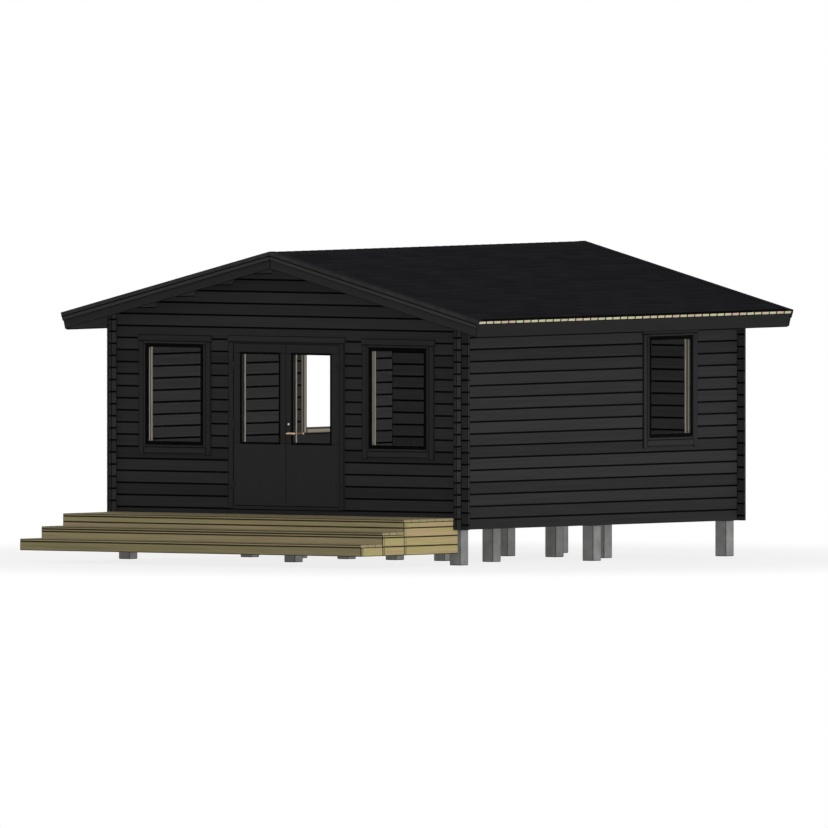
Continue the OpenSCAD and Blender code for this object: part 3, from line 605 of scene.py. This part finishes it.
def float_glass():
    """Float glass with an anti-reflective coat: clear, with a faint waviness and next to no reflection.

    The bare glass has an index of 1.5. The coat takes its reflection away, so the index is close to air's.
    """
    material, tree, shader = start_finish("float_glass", {"Base Color": WHITE, "Roughness": 0.0, "IOR": 1.01,
                                                          "Transmission Weight": 1.0})
    place = add(tree, "TexCoord")["Object"]
    wave = add(tree, "TexNoise", {"Vector": place, "Scale": 1 / (400 * MM), "Detail": 1.0})[0]
    relief = add(tree, "Bump", {"Height": wave, "Distance": 0.02 * MM, "Strength": 0.1})[0]
    tree.links.new(relief, shader.inputs["Normal"])
    return material


END_LOGS = stained_logs("black_stained_spruce_end_logs", 0, END_JOINT_Z)
SIDE_LOGS = stained_logs("black_stained_spruce_side_logs", 1, SIDE_JOINT_Z)
PURLINS = stained_logs("black_stained_spruce_purlins", 1, SIDE_JOINT_Z, corners=False)
TRIM = stained_boards("black_stained_spruce_trim", "#222223", "#2a2a2b")
# A darker copy of the trim stain, as painted shade on the right eave board
FASCIA = stained_boards("black_stained_spruce_fascia", "#1b1b1c", "#202021")
# A paler copy, for the verges and, as painted light, for the left eave board
PALE_TRIM = stained_boards("faded_black_stained_verge", "#2b2b2b", "#333333")
LEAF = stained_boards("black_stained_spruce_leaf", "#242425", "#282828", edge_share=0.6)
BARS_X = stained_boards("black_stained_spruce_rails", "#232324", "#2b2b2c", axis=0)
BARS_Z = stained_boards("black_stained_spruce_posts", "#232324", "#2b2b2c", axis=2)
PINE_TONES = ("#a8a988", "#b3b38f", "#aeaa85", "#b09c8a", "#b6aa95")
PINE = bare_pine("planed_pine", *PINE_TONES)
PINE_X = bare_pine("planed_pine_bearers", *PINE_TONES, axis=0)
PINE_Y = bare_pine("planed_pine_joists", *PINE_TONES, axis=1)
FLOOR_PINE = bare_pine("planed_pine_floor", "#b5a684", "#bfaf8c", "#b8a57c")
# A greyer, darker copy of the pine for the linings and beads, as painted shade
SHADED_PINE = bare_pine("limed_pine", "#949080", "#9c9686")
DECKING = treated_decking("pressure_treated_pine", "#928f5d", "#9c9065", "#a18d6b")
DECKING_FRONT = treated_decking("browned_pressure_treated_pine", "#88825f", "#8f8464", "#928369")
DECKING_BEAMS = treated_decking("damp_pressure_treated_pine", "#8d8762", "#948968", "#97886d",
                                low_shade_z=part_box("tread_boards")[0].z)
DECKING_Y = treated_decking("pressure_treated_pine_bearers", "#7d765a", "#85775f", "#8a7664", axis=1)
CONCRETE = cast_concrete()
SHINGLE = mineral_shingle()
FLASHING = coated_steel("matt_coated_steel_sheet", "#2d2d2e", "#353536", 0.9)
RUBBER = moulded_rubber()
HINGE = coated_steel("black_coated_steel", "#222223", "#2c2c2d", 0.5)
BRASS = turned_metal("brushed_brass", "#ad8f78", "#c4a991", 0.34)
STEEL = turned_metal("brushed_steel", "#bfc3c7", "#d6d9dc", 0.28)
GLASS = float_glass()


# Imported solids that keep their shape

CAD_FINISHES = {
    "front_sill_logs": END_LOGS, "front_wall_left": END_LOGS, "front_wall_right": END_LOGS,
    "front_gable_wall": END_LOGS, "back_wall": END_LOGS, "left_wall": SIDE_LOGS, "right_wall": SIDE_LOGS,
    "purlins": PURLINS, "door_jambs": BARS_Z, "door_head": BARS_X, "door_threshold": BARS_X,
    "end_bearers": PINE_X, "floor_joists": PINE_Y, "step_bearers": DECKING_Y,
    "window_panes": GLASS, "left_door_pane": GLASS, "right_door_pane": GLASS,
    "frame_hinge_halves": HINGE, "left_hinge_halves": HINGE, "right_hinge_halves": HINGE,
}
for node, finish in CAD_FINISHES.items():
    frame["nodes"][node].data.materials.clear()
    frame["nodes"][node].data.materials.append(finish)


# Piers, floor and landing

for node in ("perimeter_piers", "inner_piers"):
    make_boards("cast_" + node, box_frames(*solid_boxes(node), 2), CONCRETE, "concrete",
                stands_for=[node], edge=PIER_EDGE_R)


def board_row(low, high, axis, pitch, gap):
    """Equal boards side by side across one box: as many as the pitch gives, with the gap between them."""
    low, high = np.array(low), np.array(high)
    count = round((high[axis] - low[axis] + gap) / pitch)
    step = (high[axis] - low[axis] + gap) / count
    start = np.tile(low, (count, 1))
    end = np.tile(high, (count, 1))
    start[:, axis] += np.arange(count) * step
    end[:, axis] = start[:, axis] + step - gap
    return start, end


floor_row = board_row(*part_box("floor_boards"), 1, FLOOR_BOARD_W, FLOOR_BOARD_GAP)
make_boards("floor_planks", box_frames(*floor_row, 0), FLOOR_PINE, "pine", stands_for=["floor_boards"],
            edge=FINE_EDGE_R)
for node, name in (("landing_boards", "landing_planks"), ("tread_boards", "tread_planks")):
    make_boards(name, box_frames(*solid_boxes(node), 0), DECKING_FRONT, "decking", stands_for=[node],
                wear=DECK_WEAR_AND_SHADE_W, dark_ends=False)


def stacked_beams(node, axis):
    """Each solid of a step frame as the beams it is stacked from, one beam height apart."""
    stack = []
    for low, high in zip(*solid_boxes(node)):
        foot = np.arange(low[2], high[2] - STEP_BEAM_H * EDGE_SHARE, STEP_BEAM_H)
        head = np.minimum(foot + STEP_BEAM_H, high[2])
        start = np.tile(low, (len(foot), 1))
        end = np.tile(high, (len(foot), 1))
        start[:, 2] = foot
        end[:, 2] = head
        stack.append(box_frames(start, end, axis))
    return joined(*stack)


make_boards("step_front_beams", stacked_beams("step_beams", 0), DECKING_BEAMS, "decking",
            stands_for=["step_beams"], wear=DECK_WEAR_AND_SHADE_W)
make_boards("step_side_beams", stacked_beams("step_cheeks", 1), DECKING, "decking",
            stands_for=["step_cheeks"], wear=DECK_WEAR_AND_SHADE_W, dark_ends=False)


def deck_screws():
    """Two countersunk screws in every board over every bearer and cheek, a little below the surface."""
    boards = [solid_boxes(node) for node in ("landing_boards", "tread_boards")]
    low = np.concatenate([pair[0] for pair in boards])
    high = np.concatenate([pair[1] for pair in boards])
    bearer = np.concatenate([(solid_boxes(node)[0][:, 0] + solid_boxes(node)[1][:, 0]) / 2
                             for node in ("step_bearers", "step_cheeks")])
    across = np.unique(np.round(bearer, 3))
    y = low[:, 1:2] + (high - low)[:, 1:2] * SCREW_PLACES
    x, y = np.broadcast_arrays(across[None, :, None], y[:, None, :])
    z = np.broadcast_to(high[:, 2][:, None, None], x.shape)
    foot = np.stack([x, y, z], axis=-1).reshape(-1, 3) - (0, 0, SCREW_SUNK)
    make_turned("deck_screws", foot, (0, 0, 1), SCREW_HEAD, SCREW_SIDES, STEEL, "fitting_steel")


deck_screws()


# Roof

def slope_point(side, run, depth, y):
    """Point on a slope: a run down from the ridge, a depth below the shingle tops, a place along Y."""
    run, depth, y = np.broadcast_arrays(run, depth, y)
    x = run * math.cos(ROOF_PITCH) - depth * math.sin(ROOF_PITCH)
    z = RIDGE_Z - run * math.sin(ROOF_PITCH) - depth * math.cos(ROOF_PITCH)
    return np.stack([side * x, y, z], axis=-1)


def slope_edges(side, *places):
    """A corner on a slope, and the vectors from it along, across and up to three more places."""
    corner, *ends = [np.atleast_2d(slope_point(side, *place)) for place in places]
    return (corner, *[end - corner for end in ends])


def slope_frames(side, start, end, top, bottom, y0, y1):
    """Boards down a slope from one run to another, between two depths and two places along the roof."""
    return slope_edges(side, (start, bottom, y0), (end, bottom, y0), (start, bottom, y1), (start, top, y0))


def roof_planks(side):
    """Boards from ridge to eave, side by side along the roof, mitred at the ridge by the slope's angle."""
    start, end = board_row((0, ROOF_Y[0], 0), (0, ROOF_Y[1], 0), 1, ROOF_BOARD_W, ROOF_BOARD_GAP)
    ridge = SHINGLE_DEPTH * RIDGE_LEAN
    return slope_frames(side, ridge, ROOF_RUN, SHINGLE_DEPTH, ROOF_BOARD_DEPTH, start[:, 1], end[:, 1])


def shingle_tabs(side):
    """Shingle tabs of one slope, in rows from the eave up, every other row half a tab along.

    A tab is a flat box from its butt up under the next row. It dips by its own thickness over one
    row, so each butt lies on the tabs below and stands out by that thickness.
    """
    rows = np.arange(math.ceil(ROOF_RUN / SHINGLE_ROW))[:, None]
    tabs = np.arange(math.ceil((ROOF_Y[1] - ROOF_Y[0]) / SHINGLE_TAB_W) + 1)[None, :]
    first = ROOF_Y[0] + (tabs - (rows % 2) / 2) * SHINGLE_TAB_W
    y0 = np.clip(first + SHINGLE_SLOT / 2, *ROOF_Y)
    y1 = np.clip(first + SHINGLE_TAB_W - SHINGLE_SLOT / 2, *ROOF_Y)
    slip = chance.random(y0.shape) * SHINGLE_SHIFT * (rows > 0)
    butt = ROOF_RUN - SHINGLE_T - rows * SHINGLE_ROW - slip
    head = np.maximum(butt - SHINGLE_ROW - SHINGLE_LAP, SHINGLE_T)
    whole = (y1 - y0 > SHINGLE_SLOT) & (butt > head)
    y0, y1, butt, head = (part[whole] for part in (y0, y1, butt, head))
    top = SHINGLE_TOP + SHINGLE_T * (butt - head) / SHINGLE_ROW
    bottom = top + SHINGLE_T
    corner, along, across, up = slope_edges(side, (head, bottom, y0), (butt, SHINGLE_TOP + SHINGLE_T, y0),
                                            (head, bottom, y1), (head, top, y0))
    unit = np.array([[0, 0], [1, 0], [1, 1], [0, 1]])
    section = unit[:, :1] * across[:, None] + unit[:, 1:] * up[:, None]
    ends = corner[:, None] + np.array([0, 1])[None, :, None] * along[:, None]
    rings = ends[:, :, None] + section[:, None]
    worn_and_shaded = np.broadcast_to(np.array([0.0, 1.0])[None, :, None], rings.shape[:3])
    return rings, worn_and_shaded


def ridge_caps():
    """Ridge shingles: a shallow roof-shaped profile carried along the ridge, each piece lapping the next."""
    y0 = np.arange(ROOF_Y[0], ROOF_Y[1] - SHINGLE_LAP, SHINGLE_ROW)
    y1 = np.minimum(y0 + SHINGLE_ROW + SHINGLE_LAP, ROOF_Y[1])
    dip = CAP_T * (y1 - y0) / SHINGLE_ROW
    y = np.stack([y0, y1], axis=1)[:, :, None]
    top = CAP_TOP + np.stack([np.zeros_like(dip), dip], axis=1)[:, :, None]
    depth = top + np.array([0, 0, 0, 1, 1, 1]) * CAP_T
    side = np.array([1, 1, -1, -1, 1, 1])
    run = np.where(np.array([1, 0, 1, 1, 0, 1]) > 0, CAP_ARM, depth * RIDGE_LEAN)
    point = slope_point(1, run, depth, y)
    point[..., 0] *= side
    return point


SIDES = ((1, "right"), (-1, "left"))
for side, word in SIDES:
    # The board sides are painted dark over their whole height, as painted shade in the gaps
    make_boards(word + "_roof_planks", roof_planks(side), PINE, "pine", stands_for=[word + "_roof_boards"],
                edge=FINE_EDGE_R, wear=ROOF_SHADE_W, lean=RIDGE_LEAN, shaded_sides=True)
for side, word in SIDES:
    rings, worn_and_shaded = shingle_tabs(side)
    make_piece(word + "_shingles", rings, SHINGLE, "shingle", stands_for=[word + "_roofing"], turn_out=True,
               tone=own_tones(rings), wear=worn_and_shaded)
caps = ridge_caps()
make_piece("ridge_shingles", caps, SHINGLE, "shingle", turn_out=True, tone=own_tones(caps))


def verge_frames(node, top, bottom, thick, inset=0.0):
    """Strips at the front and back verge of both slopes, between two depths and a distance in from the face.

    They are cut upright at the ridge, with half the mitre gap on each side.
    """
    low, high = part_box(node)
    spans = ((low.y + inset, low.y + inset + thick), (high.y - inset - thick, high.y - inset))
    return joined(*[slope_frames(side, MITRE_RUN, ROOF_RUN, top, bottom, *span)
                    for side in (1, -1) for span in spans])


make_boards("barge_planks", verge_frames("bargeboards", 0.0, BARGEBOARD_DEPTH, VERGE_BOARD_T), TRIM,
            "stained_trim", stands_for=["bargeboards"], lean=RIDGE_LEAN)
make_boards("verge_planks", verge_frames("verge_boards", 0.0, VERGE_BOARD_DEPTH, VERGE_BOARD_T), PALE_TRIM,
            "stained_trim", stands_for=["verge_boards"], wear=VERGE_SHADE_W, lean=RIDGE_LEAN)


def fascia_frames(side):
    """The eave board: it hangs square to the slope under the board ends, along the whole roof."""
    front, back = ROOF_Y
    outer = ROOF_RUN - FASCIA_INSET
    return slope_edges(side, (outer, FASCIA_DEPTH, front), (outer, FASCIA_DEPTH, back),
                       (outer - FASCIA_T, FASCIA_DEPTH, front), (outer, ROOF_BOARD_DEPTH, front))


# Right eave board: a darker stain, as painted shade; left: the pale stain, as painted light on its inner
# face
make_boards("right_eave_plank", fascia_frames(1), FASCIA, "stained_trim", stands_for=["eave_fascias"],
            wear=FASCIA_SHADE_W)
make_boards("left_eave_plank", fascia_frames(-1), PALE_TRIM, "stained_trim", wear=FASCIA_SHADE_W)


def roof_sheets(start, top):
    """One sheet a slope on the roof boards, from a run below the ridge down to the eave."""
    return joined(*[slope_frames(side, start, ROOF_RUN, top, SHINGLE_DEPTH, *ROOF_Y) for side in (1, -1)])


make_boards("eave_strips", roof_sheets(ROOF_RUN - EAVE_STRIP_W, EAVE_STRIP_TOP), RUBBER, "shingle",
            edge=FINE_EDGE_R)
make_boards("roof_underlay", roof_sheets(CAP_ARM / 2, SHINGLE_DEPTH - UNDERLAY_T), RUBBER, "shingle",
            edge=SHEET_EDGE_R)
lips = verge_frames("verge_flashings", -FLASHING_T, FLASHING_LIP, FLASHING_T)
felt = verge_frames("verge_flashings", -FLASHING_T, 0.0, FLASHING_TOP_W, FLASHING_T)
# Black strips under the lips' lower edges, as painted shade
lip_shades = verge_frames("verge_flashings", FLASHING_LIP, FLASHING_LIP + LIP_SHADE_W, FLASHING_T, FLASHING_T / 4)
make_boards("verge_metal_lips", lips, FLASHING, "sheet_metal", stands_for=["verge_flashings"],
            lean=RIDGE_LEAN)
make_boards("verge_felt_strips", felt, SHINGLE, "shingle", lean=RIDGE_LEAN)
make_boards("verge_seal_strips", lip_shades, RUBBER, "shingle", lean=RIDGE_LEAN)


# Windows

def frame_members(low, high, face, ear=0.0, tail=0.0):
    """An upright frame as four boards: a head with ears over two sides, and a foot between their tails."""
    level = 0 if high[0] - low[0] > high[1] - low[1] else 1
    cut = np.array([low[level], low[level] + ear, low[level] + ear + face,
                    high[level] - ear - face, high[level] - ear, high[level]])
    start = np.tile(low, (4, 1))
    end = np.tile(high, (4, 1))
    start[:, level] = cut[[0, 2, 1, 3]]
    end[:, level] = cut[[5, 3, 2, 4]]
    start[0, 2] = high[2] - face
    start[1, 2] = low[2] + tail
    end[1, 2] = low[2] + tail + face
    end[2:, 2] = high[2] - face
    return joined(box_frames(start[:2], end[:2], level), box_frames(start[2:], end[2:], 2))


def depth_axis(low, high):
    """Axis through the wall, and 1 where the outside is at the high corner, else 0."""
    axis = 1 if high[0] - low[0] > high[1] - low[1] else 0
    return axis, int(axis == 0 and low[0] > 0)


def depth_slice(low, high, start, end):
    """Part of a frame's box between two depths from the outside."""
    axis, outside = depth_axis(low, high)
    low, high = low.copy(), high.copy()
    if outside:
        low[axis], high[axis] = high[axis] - end, high[axis] - start
    else:
        low[axis], high[axis] = low[axis] + start, low[axis] + end
    return low, high


def drawn_in(low, high, face):
    """A frame's box drawn in on all four sides by its face width."""
    axis = depth_axis(low, high)[0]
    inset = np.full(3, face)
    inset[axis] = 0
    return low + inset, high - inset


def window_frames(node, members, *sizes):
    """The boards of the same frame at every window."""
    return joined(*[members(low, high, *sizes) for low, high in zip(*solid_boxes(node))])


def sash_gasket(low, high):
    """The wide glazing rubber inside a sash's rim, a little behind its face."""
    slim = depth_slice(low, high, GASKET_DEPTH, (high - low).min())
    return frame_members(*drawn_in(*slim, SASH_RIM), SASH_FACE - SASH_RIM)


def lining_members(low, high):
    """The inner sash and, behind a shadow gap and one step wider open, the lining."""
    depth = (high - low).min()
    inner = frame_members(*depth_slice(low, high, 0.0, INNER_SASH_T - LINING_GAP), SASH_FACE)
    lining = frame_members(*depth_slice(low, high, INNER_SASH_T, depth), SASH_FACE - LINING_STEP)
    return joined(inner, lining)


casing_boards = window_frames("window_casings", frame_members, CASING_W, CASING_EAR, CASING_TAIL)
make_boards("window_casing_boards", casing_boards, TRIM, "stained_trim", stands_for=["window_casings"])
sash_bars = window_frames("window_sashes", frame_members, SASH_RIM)
make_boards("window_sash_bars", sash_bars, TRIM, "stained_trim", stands_for=["window_sashes"])
make_boards("window_glazing_rubbers", window_frames("window_sashes", sash_gasket), RUBBER, "stained_trim")
make_boards("window_pine_linings", window_frames("window_linings", lining_members), SHADED_PINE, "pine",
            stands_for=["window_linings"], edge=LINING_EDGE_R, wear=LINING_SHADE_W)


# Door

make_boards("door_side_boards", box_frames(*solid_boxes("door_side_casings"), 2), TRIM, "stained_trim",
            stands_for=["door_side_casings"])
make_boards("door_head_board", box_frames(*solid_boxes("door_head_casing"), 0), TRIM, "stained_trim",
            stands_for=["door_head_casing"])


def door_leaf(side):
    """A leaf: its panel, two stiles and a top rail round the glass, its rubber, bead and foot seal."""
    body = side + "_door"
    low, high = (np.array(corner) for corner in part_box(body + "_leaf"))
    bead = tuple(np.array(corner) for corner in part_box(body + "_bead"))
    glass_low, glass_high = drawn_in(*bead, DOOR_BEAD_W)
    foot, head = glass_low[2], glass_high[2]
    panel = box_frames(low, (high[0], high[1], foot), 2)
    rail = box_frames((low[0], low[1], head), high, 0)
    stiles = box_frames([(low[0], low[1], foot), (glass_high[0], low[1], foot)],
                        [(glass_low[0], high[1], head), (high[0], high[1], head)], 2)
    make_boards(body + "_boards", joined(panel, rail, stiles), LEAF, "stained_trim", body,
                [body + "_leaf"], edge=FINE_EDGE_R)
    border = LEAF_GASKET_W / 2
    ring_low = np.array((glass_low[0] - border, low[1] - LEAF_GASKET_PROUD, foot - border))
    ring_high = np.array((glass_high[0] + border, low[1] + LEAF_GASKET_T, head + border))
    make_boards(body + "_glazing_rubber", frame_members(ring_low, ring_high, LEAF_GASKET_W), RUBBER,
                "stained_trim", body)
    make_boards(body + "_pine_bead", frame_members(*bead, DOOR_BEAD_W), SHADED_PINE, "pine", body,
                [body + "_bead"], edge=LINING_EDGE_R, wear=BEAD_SHADE_W)
    seal = box_frames((low[0], high[1] - SEAL_T, low[2] - SEAL_H), (high[0], high[1], low[2] + SEAL_H), 0)
    make_boards(body + "_foot_seal", seal, RUBBER, "stained_trim", body)


door_leaf("left")
door_leaf("right")


def lever(centre, face_y, grip_y, length):
    """A lever: an upright oval carried out from the leaf along Y, round a quarter bend, and along X.

    The neck swells into the grip with a smooth step, and the last stations close it as half a ball.
    """
    out = math.copysign(1.0, grip_y - face_y)
    reach = abs(grip_y - face_y)
    angle = np.linspace(0, math.pi / 2, LEVER_BEND_STATIONS)
    grip = np.linspace(0, 1, LEVER_GRIP_STATIONS)
    straight = length - LEVER_BEND_R - LEVER_GRIP_R
    ball = np.linspace(0, math.pi / 2, LEVER_BALL_STATIONS)[1:]
    x = np.concatenate([[0.0], LEVER_BEND_R * (1 - np.cos(angle)), LEVER_BEND_R + straight * grip[1:],
                        length - LEVER_GRIP_R + LEVER_GRIP_R * np.sin(ball)])
    y = np.concatenate([[0.0], reach - LEVER_BEND_R + LEVER_BEND_R * np.sin(angle),
                        np.full(len(grip) - 1 + len(ball), reach)])
    swell = np.clip(grip[1:] * 2, 0, 1)
    radius = np.concatenate([np.full(len(angle) + 1, LEVER_NECK_R),
                             LEVER_NECK_R + (LEVER_GRIP_R - LEVER_NECK_R) * swell ** 2 * (3 - 2 * swell),
                             np.maximum(LEVER_GRIP_R * np.cos(ball), LEVER_TIP_R)])
    path = np.stack([centre[0] + x, face_y + out * y, np.full(len(x), centre[2])], axis=1)
    ahead = np.gradient(path, axis=0)
    ahead /= np.linalg.norm(ahead, axis=1)[:, None]
    beside = np.cross((0.0, 0.0, 1.0), ahead)
    turn = np.linspace(0, 2 * math.pi, ROUND_SIDES, endpoint=False)
    upright = np.array([0, 0, LEVER_TALL])
    oval = np.cos(turn)[None, :, None] * beside[:, None] + np.sin(turn)[None, :, None] * upright
    return path[:, None] + radius[:, None, None] * oval


def door_fittings():
    """Levers inside and outside, their roses, and the face of the lock on both sides of the leaf."""
    joint = next(j for j in frame["joints"] if j["name"] == "handle_turn")
    centre = np.array(joint["pos_m"])
    low, high = (np.array(corner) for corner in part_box("door_handle"))
    leaf_low, leaf_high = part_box("right_door_leaf")
    grip_r = centre[0] - low[0]
    length = high[0] - centre[0]
    pair = np.stack([lever(centre, leaf_low.y, low[1] + grip_r, length),
                     lever(centre, leaf_high.y, high[1] - grip_r, length)])
    make_piece("door_levers", pair, BRASS, "lever_brass", "handle", ["door_handle"], turn_out=True)
    for name, y, away in (("outer_rose", leaf_low.y, -1), ("inner_rose", leaf_high.y, 1)):
        make_turned(name, (centre[0], y, centre[2]), (0, away, 0), ROSE_PROFILE, ROUND_SIDES, BRASS,
                    "lever_brass", "right_door")
    lock_low, lock_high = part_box("lock_cylinder")
    lock_z = (lock_low.z + lock_high.z) / 2
    proud = leaf_low.y - lock_low.y
    lock_r = (lock_high.x - lock_low.x) / 2
    core = [(-FITTING_SUNK, lock_r)] + [(proud - back, lock_r - drawn) for back, drawn in LOCK_FACE]
    for name, y, away, nodes in (("outer_lock", leaf_low.y, -1, ["lock_cylinder"]),
                                 ("inner_lock", leaf_high.y, 1, [])):
        make_turned(name, (centre[0], y, lock_z), (0, away, 0), core, ROUND_SIDES, STEEL, "fitting_steel",
                    "right_door", nodes)


door_fittings()


# Stage, light and camera

VIEW_AZIMUTH = math.radians(36.9)
VIEW_ELEVATION = math.radians(1.49)
VIEW_WIDTH = 9.2535
VIEW_CENTRE = Vector((1.772, -1.8715, 1.686))
VIEW_DISTANCE = 130.0
VIEW_CLIP = 1000.0
FLOOR_HALF = 400.0
FLOOR_GREY = 0.65
# Share of plain white in the floor near the cabin, and the distances over which it grows to all white
FLOOR_WHITE_NEAR = 0.82
FLOOR_FADE = (4.5, 9.0)
AMBIENT = 0.45
# Each sun: its name, its direction, its strength, its spread in degrees, and whether it casts a shadow
SUNS = (
    ("key", (0.94, -0.22, 0.22), 0.8, 45, True),
    ("back_fill", (-0.6, 0.7, 0.35), 0.9, 60, True),
    ("right_fill", (1.0, 0.0, 0.1), 1.88, 30, False),
    ("front_fill", (0.0, -1.0, 0.1), 0.9, 30, False),
)


def seen_plainly(tree):
    """1 for a ray from the camera, also by way of metal or glass, and 0 once it has left a matt surface."""
    ray = add(tree, "LightPath")
    seen = add(tree, "Math", {0: ray["Is Camera Ray"], 1: ray["Is Glossy Ray"]}, operation="MAXIMUM")[0]
    seen = add(tree, "Math", {0: seen, 1: ray["Is Transmission Ray"]}, operation="MAXIMUM")[0]
    return add(tree, "Math", {0: seen, 1: ray["Diffuse Depth"]}, operation="SUBTRACT", use_clamp=True)[0]


def make_floor():
    """A flat square at ground level. To the camera it is white with a faint shadow near the cabin."""
    corner = np.array([[-1, -1, 0], [1, -1, 0], [1, 1, 0], [-1, 1, 0]]) * FLOOR_HALF
    mesh = bpy.data.meshes.new("floor")
    mesh.from_pydata(corner.tolist(), [], [[0, 1, 2, 3]])
    grey = (FLOOR_GREY, FLOOR_GREY, FLOOR_GREY, 1.0)
    material, tree, shader = start_finish("pale_floor", {**DULL, "Base Color": grey})
    reach = add(tree, "VectorMath", {0: add(tree, "TexCoord")["Object"]}, operation="LENGTH")["Value"]
    near, far = FLOOR_FADE
    white = add(tree, "MapRange", {0: reach, 1: near, 2: far, 3: FLOOR_WHITE_NEAR, 4: 1.0},
                interpolation_type="SMOOTHSTEP")[0]
    share = add(tree, "Math", {0: seen_plainly(tree), 1: white}, operation="MULTIPLY")[0]
    glow = add(tree, "Emission", {"Color": WHITE, "Strength": 1.0})[0]
    mixed = add(tree, "MixShader", {0: share, 1: shader.outputs[0], 2: glow})[0]
    tree.links.new(mixed, tree.nodes["Material Output"].inputs["Surface"])
    mesh.materials.append(material)
    floor = bpy.data.objects.new("floor", mesh)
    bpy.context.scene.collection.objects.link(floor)


def make_sun(name, towards, strength, spread, shadow):
    """A soft sun lamp from one direction. Without a shadow it also reaches the room and the eaves."""
    lamp = bpy.data.lights.new(name, "SUN")
    lamp.energy = strength
    lamp.angle = math.radians(spread)
    lamp.use_shadow = shadow
    # Bounced rays that find the lamp through a pane would only leave grain in the room
    lamp.cycles.use_multiple_importance_sampling = False
    sun = bpy.data.objects.new(name, lamp)
    sun.rotation_mode = "QUATERNION"
    sun.rotation_quaternion = (-Vector(towards)).to_track_quat("-Z", "Y")
    bpy.context.scene.collection.objects.link(sun)


def make_world():
    """White to the camera, to metal and through glass, and a soft even light for everything else."""
    world = bpy.data.worlds.new("studio")
    bpy.context.scene.world = world
    world.use_nodes = True
    tree = world.node_tree
    tree.nodes.clear()
    soft = add(tree, "Background", {"Color": WHITE, "Strength": AMBIENT})[0]
    white = add(tree, "Background", {"Color": WHITE, "Strength": 1.0})[0]
    mixed = add(tree, "MixShader", {0: seen_plainly(tree), 1: soft, 2: white})[0]
    add(tree, "OutputWorld", {"Surface": mixed})


def make_camera():
    """Parallel view from the front right, just above level, framed as the photograph is."""
    data = bpy.data.cameras.new("camera")
    data.type = "ORTHO"
    data.ortho_scale = VIEW_WIDTH
    data.clip_end = VIEW_CLIP
    back = Vector((math.sin(VIEW_AZIMUTH) * math.cos(VIEW_ELEVATION),
                   -math.cos(VIEW_AZIMUTH) * math.cos(VIEW_ELEVATION), math.sin(VIEW_ELEVATION)))
    camera = bpy.data.objects.new("camera", data)
    camera.location = VIEW_CENTRE + back * VIEW_DISTANCE
    camera.rotation_mode = "QUATERNION"
    camera.rotation_quaternion = (-back).to_track_quat("-Z", "Y")
    bpy.context.scene.collection.objects.link(camera)
    bpy.context.scene.camera = camera


make_floor()
for sun_values in SUNS:
    make_sun(*sun_values)
make_world()
make_camera()
bpy.context.scene.view_settings.view_transform = "Standard"
